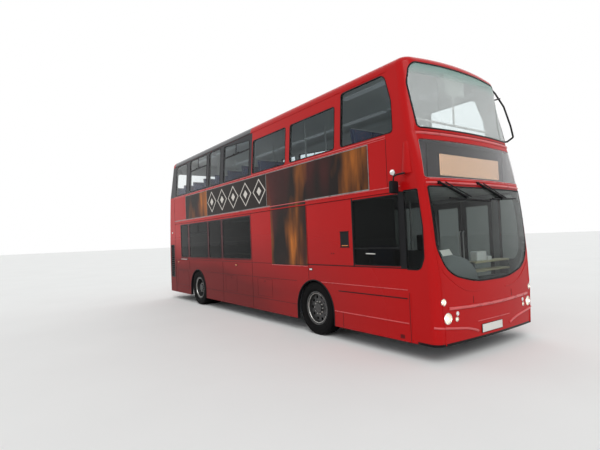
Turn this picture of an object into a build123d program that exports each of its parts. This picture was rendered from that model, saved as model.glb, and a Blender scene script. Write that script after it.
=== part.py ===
from build123d import *
import os

os.makedirs("parts", exist_ok=True)

# A two-door double decker bus. Millimetres, +X forward, +Y to the kerb side with the doors, +Z up.
# The origin is on the ground, below the middle of the body.

# Body envelope
HALF_WIDTH = 1260
LEAN_IN = 95
SKIRT_Z = 235
BUMPER_TOP_Z = 705
DECK_SEAM_Z = 2420
WAIST_Z = 3200
ROOF_Z = 4400
ROOF_SEAM_Z = ROOF_Z - 195
LEAN_TOP_Z = ROOF_Z + 120
CROWN_RADIUS = 16000
ROOF_EDGE_RADIUS = 150
WALL = 60
FRONT_SEAM_X = 4470
CAB_SEAM_X = FRONT_SEAM_X + 240
REAR_SEAM_X = -4620
FIT = 0.3
PAST = 140
FAR = 6000

# Nose and tail sections: height, reach from the seam, bow of the end in plan, corner radius
NOSE_LOWER = (
    (SKIRT_Z, 820, 60, 140),
    (700, 830, 62, 140),
    (1300, 828, 72, 150),
    (1900, 805, 88, 150),
    (DECK_SEAM_Z, 758, 102, 150),
    (WAIST_Z, 615, 116, 180),
)
NOSE_UPPER = (
    (WAIST_Z, 615, 116, 180),
    (ROOF_Z - 800, 552, 112, 195),
    (ROOF_Z - 400, 502, 108, 205),
    (ROOF_Z - 150, 468, 106, 215),
    (LEAN_TOP_Z, 360, 104, 225),
)
TAIL_LOWER = (
    (SKIRT_Z, 670, 35, 180),
    (700, 680, 35, 180),
    (1600, 668, 35, 180),
    (DECK_SEAM_Z, 612, 35, 180),
    (WAIST_Z, 520, 35, 180),
)
TAIL_UPPER = (
    (WAIST_Z, 520, 35, 180),
    (ROOF_Z - 500, 402, 35, 205),
    (LEAN_TOP_Z, 305, 35, 225),
)
NOSE_CUT = (FRONT_SEAM_X + 230, FRONT_SEAM_X + 930)
TAIL_CUT = (REAR_SEAM_X - 780, REAR_SEAM_X - 180)

# Wheels and axles
FRONT_AXLE_X = 2590
REAR_AXLE_X = -2840
WHEEL_RADIUS = 478.5
TYRE_WIDTH = 275
TREAD_Y = HALF_WIDTH - 160
TWIN_PITCH = 310
BEAD_RADIUS = 292
BEAD_HALF = 105
RIM_WALL = 17
FLANGE_RISE = 12
FLANGE_WIDTH = 13
DISC_THICK = 14
DISC_HOLES = 10
DISC_HOLE_RADIUS = 30
DISC_HOLE_AT = 205
FRONT_DISC_OUT = 45
TWIN_DISC_IN = 75
HUB_RADIUS = 135
HUB_CAP_RADIUS = 88
TWIN_CAP_RADIUS = 100
RUNNING = 0.05
ARCH_RADIUS = 540
ARCH_CENTRE_Z = 450

# Front axle, knuckles and tie rod
KINGPIN_Y = HALF_WIDTH - 330
KINGPIN_RADIUS = 22
FIST_RADIUS = 48
EYE_HALF = 70
LUG_GAP = 1
LUG_THICK = 36
KNUCKLE_PLATE = (55, 80)
STUB_RADIUS = 45
STUB_END_Y = TREAD_Y + 30
BEAM_TOP_Z = 228
BEAM_DEPTH = 78
BEAM_HALF = 55
BEAM_LEG_Y = (690, 760)
STEER_ARM = 200
STEER_ARM_HALF = 24
STEER_ARM_THICK = 30
TIE_ROD_Z = 205
TIE_ROD_RADIUS = 16
TIE_END_RADIUS = 24
BALL_PIN_RADIUS = 10

# Rear axle
SPINDLE_RADIUS = 60
CASING_RADIUS = 85
HUB_IN_Y = 660
SPINDLE_END_Y = 1010
DIFFERENTIAL = (-40, 150, 165)

# Floors and wheel housings
FLOOR_Z = 360
FLOOR_THICK = 50
STEP_X = -1900
STEP_LENGTH = 300
STEP_HALF = 300
HIGH_FLOOR_Z = 680
BULKHEAD_X = -4150
BULKHEAD_THICK = 40
UPPER_FLOOR_Z = 2480
UPPER_FLOOR_THICK = 80
HOUSING_HALF = 620
HOUSING_TOP_Z = 1030
HOUSING_WALL = 20
FRONT_HOUSING_Y = KINGPIN_Y - 310
REAR_HOUSING_Y = TREAD_Y - TWIN_PITCH - 190

# Underframe: rails, cross members, towing eyes with upright pins, jacking pads
RAIL_Y = 450
RAIL_HALF = 35
RAIL_FRONT_X = FRONT_SEAM_X + 550
RAIL_REAR_X = REAR_SEAM_X - 540
HIGH_RAIL_Z = 575
POST_LENGTH = 70
LOW_MEMBERS_X = (RAIL_FRONT_X - 120, 3400, 1700, 300, -1100)
HIGH_MEMBERS_X = (-3600, -4400, RAIL_REAR_X + 60)
MEMBER_HALF = 40
EYE_RADIUS = 22
EYE_LENGTH = 120
EYE_SIDE = 50
JACK_PAD_X = 1000
JACK_PAD_HALF = 60
JACK_PAD_THICK = 14
ENGINE = (-5080, -4300, 560, 1520)
ENGINE_EDGE = 50

# Glass
PANE_OUT = 3
PANE_THICK = 8

# Side windows: rear edge, front edge, sill, top at the rear, top at the front, corner radius
LOWER_WINDOWS = (
    (-4110, -3530, 1340, 2310, 2310, 60),
    (-3400, -2100, 1340, 2310, 2310, 60),
    (-2010, -1250, 1340, 2310, 2310, 60),
    (-1150, 280, 1340, 2310, 2310, 60),
)
CAB_WINDOW = (FRONT_SEAM_X - 780, FRONT_SEAM_X + 195, 1290, 2340, 2340, 40)
KERB_WINDOW = (1950, 3300, 1340, 2310, 2310, 60)
UPPER_SILL_Z = WAIST_Z + 40
HIGH_TOP_Z = ROOF_Z - 230
LOW_TOP_Z = ROOF_Z - 400
UPPER_WINDOWS = (
    (-4480, -3580, UPPER_SILL_Z, HIGH_TOP_Z, HIGH_TOP_Z, 60),
    (-3330, -2100, UPPER_SILL_Z, HIGH_TOP_Z, HIGH_TOP_Z, 60),
    (-1950, -1230, UPPER_SILL_Z, HIGH_TOP_Z, HIGH_TOP_Z, 60),
    (-1050, 300, UPPER_SILL_Z, HIGH_TOP_Z - 10, LOW_TOP_Z + 50, 60),
    (450, 1790, UPPER_SILL_Z, LOW_TOP_Z, LOW_TOP_Z, 60),
    (1930, 3300, UPPER_SILL_Z, LOW_TOP_Z, LOW_TOP_Z, 60),
)
# Front side window of the upper deck: X, Z, corner radius
FRONT_SIDE_WINDOW = (
    (FRONT_SEAM_X - 1020, UPPER_SILL_Z, 60),
    (FRONT_SEAM_X + 150, UPPER_SILL_Z, 60),
    (FRONT_SEAM_X + 115, (UPPER_SILL_Z + HIGH_TOP_Z) / 2 + 15, 250),
    (FRONT_SEAM_X - 30, HIGH_TOP_Z, 150),
    (FRONT_SEAM_X - 1020, HIGH_TOP_Z, 60),
)
# Quarter glass beside the windscreen: X, Z, corner radius
QUARTER_GLASS = (
    (FRONT_SEAM_X + 280, 1250, 40),
    (FRONT_SEAM_X + 540, 1250, 110),
    (FRONT_SEAM_X + 608, 1420, 60),
    (FRONT_SEAM_X + 608, 1850, 200),
    (FRONT_SEAM_X + 542, 2380, 30),
    (FRONT_SEAM_X + 280, 2380, 30),
)
# Front and rear glass outlines, near half: Y, Z, corner radius
WINDSCREEN = (
    (HALF_WIDTH - 65, DECK_SEAM_Z - 12, 35),
    (HALF_WIDTH - 80, 1520, 500),
    (HALF_WIDTH - 210, 1270, 400),
    (HALF_WIDTH - 390, 1145, 550),
    (HALF_WIDTH - 840, 1038, 1800),
)
SIGN_GLASS = ((HALF_WIDTH - 82, WAIST_Z - 120, 40), (HALF_WIDTH - 55, DECK_SEAM_Z + 100, 40))
UPPER_SCREEN = (
    (450, ROOF_Z - 126, 1500),
    (HALF_WIDTH - 160, ROOF_Z - 146, 170),
    (HALF_WIDTH - 95, ROOF_Z - 470, 400),
    (HALF_WIDTH - 98, WAIST_Z + 38, 60),
)
REAR_WINDOW = ((HALF_WIDTH - 280, ROOF_Z - 340, 90), (HALF_WIDTH - 250, WAIST_Z + 90, 90))

# Doors on the kerb side: rear edge, front edge of each doorway
FRONT_DOORWAY = (FRONT_SEAM_X - 1070, FRONT_SEAM_X + 170)
EXIT_DOORWAY = (360, 1560)
DOOR_TOP_Z = 2330
LEAF_THICK = 40
LEAF_EDGE_GAP = 14
LEAF_MEET_GAP = 10
LEAF_LOW_GAP = 8
LEAF_INSET = 5
LEAF_STILE = 65
LEAF_RAIL = 90
LEAF_CORNER = 40
SHAFT_RADIUS = 16
SHAFT_IN = 25

# Engine bay door
LID_HALF = 800
LID_BOTTOM_Z = 560
LID_HINGE_Z = 1620
LID_HINGE_X = REAR_SEAM_X - 663
LID_BARREL = 16
LID_BARREL_LENGTH = 160
LID_BARREL_Y = 500
LID_GAP = 8
LID_DROP = 4
LID_CORNER = 40

# Grilles in the tail corners: X, Z, corner radius, and their slots
GRILLE = (
    (REAR_SEAM_X - 430, 690, 20),
    (REAR_SEAM_X - 90, 690, 20),
    (REAR_SEAM_X - 90, 1720, 20),
    (REAR_SEAM_X - 430, 1720, 20),
)
SLOT_EDGE = 30
SLOT_HEIGHT = 32
SLOT_PITCH = 62

# Lamps on the nose and the tail: Y, Z, radius
NOSE_LAMPS = (
    (HALF_WIDTH - 202, 600, 78),
    (HALF_WIDTH - 380, 572, 34),
    (HALF_WIDTH - 395, 647, 31),
    (HALF_WIDTH - 130, 824, 48),
)
TAIL_LAMPS = tuple((HALF_WIDTH - 155, z, 55) for z in (880, 1010, 1140, 1270))
LAMP_PROUD = 4
LAMP_DEPTH = 45

# Seats: rear face of each row; two rows of two stand abreast, except beside the stairwell
SEAT_WIDTH = 850
SEAT_WALL_GAP = 35
SEAT_DEPTH = 445
SEAT_INNER_Y = HALF_WIDTH - WALL - SEAT_WALL_GAP - SEAT_WIDTH
PAN_Z = 385
PAN_THICK = 20
BACK_TOP_Z = 1060
BACK_THICK = 26
BACK_LEAN = 90
PAD_THICK = 70
PAD_EDGE = 8
LEG_IN_Y = 105
LOW_ROWS = (-320, -1080, -1840)
HIGH_ROWS = (-2560, -3310, -4040)
UPPER_ROWS = (3700, 2940, 2180, 1420, 660, -100, -860, -1620, -2380, -3140, -3900, -4560)

# Staircase, climbing forwards on the offside
STAIR_FOOT_X = 1330
STAIR_STEPS = 9
STAIR_GOING = 205
STAIR_TREAD = 30
STAIR_WIDTH = 600
STAIR_SIDE = 30
STAIR_TOP_X = STAIR_FOOT_X + (STAIR_STEPS - 1) * STAIR_GOING
STAIRWELL = (STAIR_FOOT_X + 170, STAIR_TOP_X + STAIR_TREAD + FIT)

# Driver's cab
CAB_FLOOR_Z = 540
PARTITION_X = FRONT_SEAM_X - 910
PARTITION_THICK = 30
CAB_IN_Y = -150
CAB_SCREEN_Z = 1480
DASH_LEFT_Y = -1130
# Dashboard: X ahead of the seam, Z, corner radius
DASH = ((90, 530, 5), (490, 530, 5), (570, 980, 30), (430, 1070, 40), (170, 1070, 60), (90, 960, 30))
SCUTTLE = (FRONT_SEAM_X + 430, FRONT_SEAM_X + 570, 1000)
STEERING_WHEEL = (FRONT_SEAM_X - 70, -620, 1120)
STEERING_TILT = 34
STEERING_RADIUS = 225
STEERING_TUBE = 15
COLUMN_RADIUS = 34
COLUMN_LENGTH = 430
DRIVER_X = FRONT_SEAM_X - 770
DRIVER_Y = (-870, -370)
DRIVER_PAN_Z = 330
DRIVER_BACK_Z = 1040
DRIVER_LEAN = 100

# Handrails. Poles of each deck: X, Y
TUBE_RADIUS = 17.5
LOWER_POLES = ((320, 590), (1620, 590), (3330, 590), (-520, 300), (-520, -300), (1230, -540))
UPPER_POLES = ((3500, 290), (1215, 290), (1215, -290), (-1065, 290), (-1065, -290), (-3340, 290), (-3340, -290))
GUARD_Y = -540
GUARD_POSTS = (1470, 2200, 3040)
GUARD_TOP_Z = 3400
FRONT_RAIL = (FRONT_SEAM_X + 230, WAIST_Z + 280)

# Sign box, mirrors, branch guard and wipers
SIGN_BOX = (FRONT_SEAM_X + 310, FRONT_SEAM_X + 480, 930, 3060)
# Mirror arm: X ahead of the seam, Y out from the side, Z
MIRROR_ARM = ((385, 18, 2620), (370, 60, 2605), (285, 122, 2590), (232, 132, 2520))
MIRROR_TUBE = 14
MIRROR_HEAD = (FRONT_SEAM_X + 198, FRONT_SEAM_X + 262, HALF_WIDTH + 55, HALF_WIDTH + 215, 2310, 2535)
MIRROR_EDGE = 22
# Mirror fairing sections: X ahead of the seam, Z, half length, bulge
FAIRING = ((365, 3070, 16, 5), (382, 2600, 88, 44))
# Branch guard: X ahead of the seam, Y out from the side, Z, corner radius
BRANCH_GUARD = (
    (90, -170, 4360, 0), (230, -45, 4315, 60), (320, -10, 4180, 60), (460, 2, 3900, 150),
    (560, 2, 3540, 150), (595, 2, 3340, 25), (490, 2, 3285, 25), (320, -35, 3285, 0),
)
GUARD_TUBE = 15
# Wipers hung above the windscreen: pivot Y, Z; arm end Y, Z; blade ends Y, Z
WIPERS = (
    ((-1000, 2452), (-490, 2250), (-830, 2232), (110, 2205)),
    ((-160, 2462), (450, 2258), (180, 2240), (930, 2262)),
)
WIPER_BOSS_RADIUS = 24
WIPER_BOSS_LENGTH = 36
WIPER_ARM = (16, 26)
WIPER_BLADE = (22, 14)
WIPER_LINK = (34, 40, 60)


def box(x0, x1, y0, y1, z0, z1):
    """A box between two corners, given in any order."""
    middle = Pos((x0 + x1) / 2, (y0 + y1) / 2, (z0 + z1) / 2)
    return middle * Box(abs(x1 - x0), abs(y1 - y0), abs(z1 - z0))


def opposite(shape):
    return mirror(shape, about=Plane.XZ)


def both_sides(shape):
    """The shape and its mirror image across the middle plane."""
    return [shape, opposite(shape)]


def prism(points, along, start, stop):
    """A prism of a rounded outline. points holds two coordinates and a corner radius each."""
    place = {
        "X": lambda p: (start, p[0], p[1]),
        "Y": lambda p: (p[0], start, p[1]),
    }[along]
    direction = {"X": (1, 0, 0), "Y": (0, 1, 0)}[along]
    wire = FilletPolyline(*[place(p) for p in points], radius=[p[2] for p in points], close=True)
    return extrude(make_face(wire), amount=stop - start, dir=direction)


def full_outline(half_points):
    """The outline of a front or rear opening from its near half."""
    far = [(-y, z, r) for y, z, r in half_points]
    return list(half_points) + far[::-1]


def glazed(points, along, start, stop):
    """A prism of an outline that is set in by the fit, for a pane or a panel in an opening."""
    wire = FilletPolyline(*[(p[0], p[1]) for p in points], radius=[p[2] for p in points], close=True)
    face = offset(make_face(wire), amount=-FIT)
    plane = {
        "X": Plane(origin=(start, 0, 0), x_dir=(0, 1, 0), z_dir=(1, 0, 0)),
        "Y": Plane(origin=(0, start, 0), x_dir=(1, 0, 0), z_dir=(0, -1, 0)),
    }[along]
    reach = stop - start if along == "X" else start - stop
    return extrude(plane * face, amount=reach)


def window_points(row):
    rear, front, sill, top_rear, top_front, radius = row
    return ((rear, sill, radius), (front, sill, radius), (front, top_front, radius), (rear, top_rear, radius))


def half_at(z):
    """Half width of the leaning upper side at a height."""
    if z <= WAIST_Z:
        return HALF_WIDTH
    return HALF_WIDTH - LEAN_IN * (z - WAIST_Z) / (LEAN_TOP_Z - WAIST_Z)


def end_outline(row, base, sign, inset):
    """One level section of the nose or tail, from the seam to the bowed tip."""
    z, reach, bow, corner = row
    half = half_at(z) - inset
    tip = base + sign * (reach - inset)
    shoulder = tip - sign * bow
    wire = Wire([
        Line((base, -half), (shoulder, -half)),
        ThreePointArc((shoulder, -half), (tip, 0), (shoulder, half)),
        Line((shoulder, half), (base, half)),
        Line((base, half), (base, -half)),
    ])
    face = make_face(wire)
    corners = [v for v in face.vertices() if abs(v.X - base) > 1]
    return Pos(0, 0, z) * fillet(corners, corner - inset)


def end_body(front, inset, roofed=False):
    """The solid nose or tail between its seam and its tip, plain on top or with the crowned roof."""
    lower, upper = (NOSE_LOWER, NOSE_UPPER) if front else (TAIL_LOWER, TAIL_UPPER)
    base, sign = (FRONT_SEAM_X, 1) if front else (REAR_SEAM_X, -1)
    low = loft([end_outline(row, base, sign, inset) for row in lower])
    high = loft([end_outline(row, base, sign, inset) for row in upper])
    if roofed:
        high = high & Pos(0, 0, ROOF_Z - inset - CROWN_RADIUS) * Rot(0, 90, 0) * Cylinder(CROWN_RADIUS, 2 * FAR)
        rim = [
            e for e in high.edges()
            if e.center().Z > ROOF_SEAM_Z and e.bounding_box().size.Z < ROOF_EDGE_RADIUS
            and abs(e.center().X - base) > 1
        ]
        high = fillet(rim, ROOF_EDGE_RADIUS - inset)
    return low + high


def middle_body(inset, x1=FRONT_SEAM_X):
    """The solid body from the rear seam forwards, shrunk all round by an inset."""
    half = HALF_WIDTH - inset
    top = half_at(LEAN_TOP_Z) - inset
    sides = Polyline(
        (-half, SKIRT_Z), (half, SKIRT_Z), (half, WAIST_Z), (top, LEAN_TOP_Z),
        (-top, LEAN_TOP_Z), (-half, WAIST_Z), close=True,
    )
    face = make_face(sides) & (Pos(0, ROOF_Z - inset - CROWN_RADIUS) * Circle(CROWN_RADIUS))
    edge = [v for v in face.vertices() if v.Y > WAIST_Z + 1]
    face = fillet(edge, ROOF_EDGE_RADIUS - inset)
    seam = Plane(origin=(REAR_SEAM_X, 0, 0), x_dir=(0, 1, 0), z_dir=(1, 0, 0))
    return extrude(seam * face, amount=x1 - REAR_SEAM_X)


def band(z0, z1, x0=-FAR, x1=FAR, y0=-FAR, y1=FAR):
    return box(x0, x1, y0, y1, z0, z1)


def tube(x, y, z, length, radius, along="Z"):
    """A round bar centred on a point."""
    turn = {"X": Rot(0, 90, 0), "Y": Rot(90, 0, 0), "Z": Rot(0, 0, 0)}[along]
    return Pos(x, y, z) * turn * Cylinder(radius, length)


def rod_y(radius, y0, y1):
    return tube(0, (y0 + y1) / 2, 0, abs(y1 - y0), radius, "Y")


def ring(r0, r1, y0, y1):
    """A ring about the Y axis."""
    return rod_y(r1, y0, y1) - rod_y(r0, y0 - 1, y1 + 1)


NODES = {}


def keep(name, *shapes):
    """Files solids under a node's name."""
    for shape in shapes:
        NODES.setdefault(name, []).extend(shape.solids())


# Envelopes
nose_inside = end_body(True, WALL, roofed=True)
nose_shell = end_body(True, 0, roofed=True) - nose_inside
tail_inside = end_body(False, WALL, roofed=True)
tail_shell = end_body(False, 0, roofed=True) - tail_inside
nose_skin = end_body(True, PANE_OUT) - end_body(True, PANE_OUT + PANE_THICK)
tail_skin = end_body(False, PANE_OUT) - end_body(False, PANE_OUT + PANE_THICK)
nose_clear = end_body(True, -FIT)
middle_shell = middle_body(0) - middle_body(WALL)
inner = middle_body(WALL + FIT) + end_body(True, WALL + FIT) + end_body(False, WALL + FIT)

# Openings in the nose, the tail and the sides. SIDE_CUT is the reach in Y of what cuts a side
SIDE_CUT = (HALF_WIDTH - 2 * PAST, HALF_WIDTH + PAST)
screen_hole = prism(full_outline(WINDSCREEN), "X", *NOSE_CUT)
sign_hole = prism(full_outline(SIGN_GLASS), "X", *NOSE_CUT)
upper_screen_hole = prism(full_outline(UPPER_SCREEN), "X", *NOSE_CUT)
rear_window_hole = prism(full_outline(REAR_WINDOW), "X", *TAIL_CUT)
quarter_holes = both_sides(prism(QUARTER_GLASS, "Y", *SIDE_CUT))
front_side_holes = both_sides(prism(FRONT_SIDE_WINDOW, "Y", *SIDE_CUT))


def lamp_rods(lamps, cut, clearance):
    """Round lamp outlines, both sides, run along X."""
    length, middle = cut[1] - cut[0], (cut[0] + cut[1]) / 2
    return [
        tube(middle, side * y, z, length, radius - clearance, "X")
        for y, z, radius in lamps for side in (1, -1)
    ]


# Nose panels
nose_bores = lamp_rods(NOSE_LAMPS, NOSE_CUT, 0)
front_bumper = nose_shell & band(SKIRT_Z, BUMPER_TOP_Z, x0=CAB_SEAM_X)
keep("front_bumper", front_bumper - nose_bores)
front_lower = nose_shell & band(BUMPER_TOP_Z, DECK_SEAM_Z, x0=CAB_SEAM_X)
keep("front_lower_panel", front_lower - [screen_hole, *quarter_holes, *nose_bores])
front_upper = nose_shell & band(DECK_SEAM_Z, FAR)
keep("front_upper_panel", front_upper - [sign_hole, upper_screen_hole, *front_side_holes])


# Tail panels and the engine bay door
def lid_outline(gap, top):
    """Outline of the lid or of its hole, from the gap at the sides and below."""
    edge, low, radius = LID_HALF - gap, LID_BOTTOM_Z + gap, LID_CORNER - gap
    return ((-edge, low, radius), (edge, low, radius), (edge, top, radius), (-edge, top, radius))


lid_hole = prism(lid_outline(0, LID_HINGE_Z + LID_BARREL + FIT), "X", *TAIL_CUT)
tail_bores = lamp_rods(TAIL_LAMPS, TAIL_CUT, 0)
grille_holes = both_sides(prism(GRILLE, "Y", *SIDE_CUT))
rear_lower = tail_shell & band(SKIRT_Z, DECK_SEAM_Z)
keep("rear_lower_panel", rear_lower - [lid_hole, *tail_bores, *grille_holes])
rear_upper = tail_shell & band(DECK_SEAM_Z, FAR)
keep("rear_upper_panel", rear_upper - [rear_window_hole])
lid = tail_shell & prism(lid_outline(LID_GAP, LID_HINGE_Z - LID_DROP), "X", *TAIL_CUT)
barrel = tube(LID_HINGE_X, LID_BARREL_Y, LID_HINGE_Z, LID_BARREL_LENGTH, LID_BARREL, "Y")
keep("engine_door", lid + both_sides(barrel))

# Grilles in the tail corners
slats = tail_shell & glazed(GRILLE, "Y", *SIDE_CUT)
(grille_x0, grille_z0), (grille_x1, grille_z1) = GRILLE[0][:2], GRILLE[2][:2]
slots = [
    box(grille_x0 + SLOT_EDGE, grille_x1 - SLOT_EDGE, *SIDE_CUT, z, z + SLOT_HEIGHT)
    for z in range(grille_z0 + SLOT_EDGE + 10, grille_z1 - SLOT_EDGE - 10, SLOT_PITCH)
]
keep("rear_grilles", *both_sides(slats - slots))

# Side panels
arches = []
for axle in (FRONT_AXLE_X, REAR_AXLE_X):
    arches.append(tube(axle, 0, ARCH_CENTRE_Z, 4 * HALF_WIDTH, ARCH_RADIUS, "Y"))
    arches.append(band(0, ARCH_CENTRE_Z, x0=axle - ARCH_RADIUS, x1=axle + ARCH_RADIUS))
lower_wall = box(REAR_SEAM_X, CAB_SEAM_X, HALF_WIDTH - WALL, HALF_WIDTH, SKIRT_Z, DECK_SEAM_Z) - arches
lower_holes = [prism(window_points(row), "Y", *SIDE_CUT) for row in LOWER_WINDOWS]
cab_hole = prism(window_points(CAB_WINDOW), "Y", *SIDE_CUT)
kerb_hole = prism(window_points(KERB_WINDOW), "Y", *SIDE_CUT)
doorways = [box(x0, x1, *SIDE_CUT, FLOOR_Z, DOOR_TOP_Z) for x0, x1 in (FRONT_DOORWAY, EXIT_DOORWAY)]
keep("side_lower_right", opposite(lower_wall - [*lower_holes, cab_hole]))
keep("side_lower_left", lower_wall - [*lower_holes, kerb_hole, *doorways])
upper_holes = [prism(window_points(row), "Y", *SIDE_CUT) for row in UPPER_WINDOWS]
upper_wall = middle_shell & band(DECK_SEAM_Z, ROOF_SEAM_Z, y0=0)
upper_wall = upper_wall - [*upper_holes, front_side_holes[0]]
keep("side_upper_left", upper_wall)
keep("side_upper_right", opposite(upper_wall))
keep("roof", middle_shell & band(ROOF_SEAM_Z, FAR))

# Glass
screens = [glazed(full_outline(outline), "X", *NOSE_CUT) for outline in (WINDSCREEN, UPPER_SCREEN)]
keep("windscreens", *[nose_skin & screen for screen in screens])
keep("sign_glass", nose_skin & glazed(full_outline(SIGN_GLASS), "X", *NOSE_CUT))
keep("rear_glass", tail_skin & glazed(full_outline(REAR_WINDOW), "X", *TAIL_CUT))
side_skin = middle_body(PANE_OUT, x1=NOSE_CUT[0]) - middle_body(PANE_OUT + PANE_THICK, x1=NOSE_CUT[0])


def side_pane(points, skin=side_skin):
    return skin & glazed(points, "Y", *SIDE_CUT)


panes = [side_pane(window_points(row)) for row in LOWER_WINDOWS + UPPER_WINDOWS]
panes += [side_pane(FRONT_SIDE_WINDOW), side_pane(QUARTER_GLASS, nose_skin)]
keep("side_glass_left", *panes, side_pane(window_points(KERB_WINDOW)))
keep("side_glass_right", *[opposite(pane) for pane in [*panes, side_pane(window_points(CAB_WINDOW))]])

# Lamps
front_slab = end_body(True, -LAMP_PROUD) - end_body(True, LAMP_DEPTH)
keep("front_lamps", *[front_slab & rod for rod in lamp_rods(NOSE_LAMPS, NOSE_CUT, FIT)])
rear_slab = end_body(False, 0) - end_body(False, LAMP_DEPTH)
keep("rear_lamps", *[rear_slab & rod for rod in lamp_rods(TAIL_LAMPS, TAIL_CUT, FIT)])


# Doors: each doorway has two leaves that turn inwards about shafts at the doorway's ends
def door_leaf(x_edge, x_meet):
    """A framed leaf with its shaft, and its pane. x_edge is the doorway's end that carries the leaf."""
    sign = 1 if x_meet > x_edge else -1
    near = x_edge + sign * LEAF_EDGE_GAP
    x0, x1 = sorted((near, x_meet - sign * LEAF_MEET_GAP / 2))
    z0, z1 = FLOOR_Z + LEAF_LOW_GAP, DOOR_TOP_Z - LEAF_LOW_GAP
    y1 = HALF_WIDTH - LEAF_INSET
    y0 = y1 - LEAF_THICK
    middle = (y0 + y1) / 2
    opening = (
        (x0 + LEAF_STILE, z0 + LEAF_RAIL, LEAF_CORNER), (x1 - LEAF_STILE, z0 + LEAF_RAIL, LEAF_CORNER),
        (x1 - LEAF_STILE, z1 - LEAF_RAIL, LEAF_CORNER), (x0 + LEAF_STILE, z1 - LEAF_RAIL, LEAF_CORNER),
    )
    shaft_length = DOOR_TOP_Z - FLOOR_Z - 2 * FIT
    shaft = tube(near + sign * SHAFT_IN, middle, (FLOOR_Z + DOOR_TOP_Z) / 2, shaft_length, SHAFT_RADIUS)
    frame = box(x0, x1, y0, y1, z0, z1) - prism(opening, "Y", y0 - 1, y1 + 1) + shaft
    return frame, glazed(opening, "Y", middle - PANE_THICK / 2, middle + PANE_THICK / 2)


for door, doorway in (("front_door", FRONT_DOORWAY), ("exit_door", EXIT_DOORWAY)):
    for leaf, edge in (("aft", doorway[0]), ("fore", doorway[1])):
        frame, pane = door_leaf(edge, sum(doorway) / 2)
        keep(f"{door}_{leaf}", frame)
        keep(f"{door}_{leaf}_glass", pane)

# Floors: plates around the wheel housings, with a riser and a step between the two levels
floor_out = HALF_WIDTH - WALL - FIT
for axle, inner_y, top, x0, x1 in (
    (FRONT_AXLE_X, FRONT_HOUSING_Y, FLOOR_Z, STEP_X + FIT, FAR),
    (REAR_AXLE_X, REAR_HOUSING_Y, HIGH_FLOOR_Z, BULKHEAD_X + FIT, STEP_X - FLOOR_THICK - FIT),
):
    rear, front = axle - HOUSING_HALF, axle + HOUSING_HALF
    bottom = top - FLOOR_THICK
    keep("lower_floor", inner & band(bottom, top, x0=x0, x1=rear - FIT))
    keep("lower_floor", inner & band(bottom, top, x0=front + FIT, x1=x1))
    keep("lower_floor", box(rear, front, -inner_y + FIT, inner_y - FIT, bottom, top))
    wall = HOUSING_WALL
    low_z, high_z = bottom, HOUSING_TOP_Z - wall - FIT
    keep("lower_floor", *both_sides(box(rear, front, inner_y, floor_out, high_z + FIT, HOUSING_TOP_Z)))
    keep("lower_floor", *both_sides(box(rear, front, inner_y, inner_y + wall, low_z, high_z)))
    for x in (rear, front - wall):
        keep("lower_floor", *both_sides(box(x, x + wall, inner_y + wall + FIT, floor_out, low_z, high_z)))
keep("lower_floor", inner & band(FLOOR_Z - FLOOR_THICK, HIGH_FLOOR_Z, x0=STEP_X - FLOOR_THICK, x1=STEP_X))
step_top = (FLOOR_Z + HIGH_FLOOR_Z) / 2
keep("lower_floor", box(STEP_X + FIT, STEP_X + STEP_LENGTH, -STEP_HALF, STEP_HALF, FLOOR_Z + FIT, step_top))
bulkhead_top = UPPER_FLOOR_Z - UPPER_FLOOR_THICK - FIT
bulkhead = band(HIGH_FLOOR_Z - FLOOR_THICK, bulkhead_top, x0=BULKHEAD_X - BULKHEAD_THICK, x1=BULKHEAD_X)
keep("lower_floor", inner & bulkhead)

# Upper floor with the stairwell
stair_in = floor_out - STAIR_WIDTH
upper_plate = inner & band(UPPER_FLOOR_Z - UPPER_FLOOR_THICK, UPPER_FLOOR_Z)
well = band(bulkhead_top, UPPER_FLOOR_Z + PAST, x0=STAIRWELL[0], x1=STAIRWELL[1],
            y0=-FAR, y1=-stair_in + STAIR_SIDE + FIT)
keep("upper_floor", upper_plate - well)

# Staircase: treads and risers beside a stringer
rise = (UPPER_FLOOR_Z - FLOOR_Z) / STAIR_STEPS
stairs = []
for step in range(1, STAIR_STEPS):
    x0 = STAIR_FOOT_X + (step - 1) * STAIR_GOING
    x1 = x0 + STAIR_GOING
    top = FLOOR_Z + step * rise
    stairs.append(box(x0, x1 + STAIR_TREAD, -floor_out, -stair_in, top - STAIR_TREAD, top))
    stairs.append(box(x1, x1 + STAIR_TREAD, -floor_out, -stair_in, top - STAIR_TREAD, top + rise))
stringer = (
    (STAIR_FOOT_X, FLOOR_Z + FIT, 1), (STAIR_FOOT_X + 260, FLOOR_Z + FIT, 1),
    (STAIR_TOP_X + STAIR_TREAD, bulkhead_top - 140, 1), (STAIR_TOP_X + STAIR_TREAD, UPPER_FLOOR_Z - FIT, 1),
    (STAIR_TOP_X - 140, UPPER_FLOOR_Z - FIT, 1), (STAIR_FOOT_X, FLOOR_Z + 260, 1),
)
stairs.append(prism(stringer, "Y", -stair_in, -stair_in + STAIR_SIDE))
keep("staircase", stairs[0] + stairs[1:])

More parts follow.
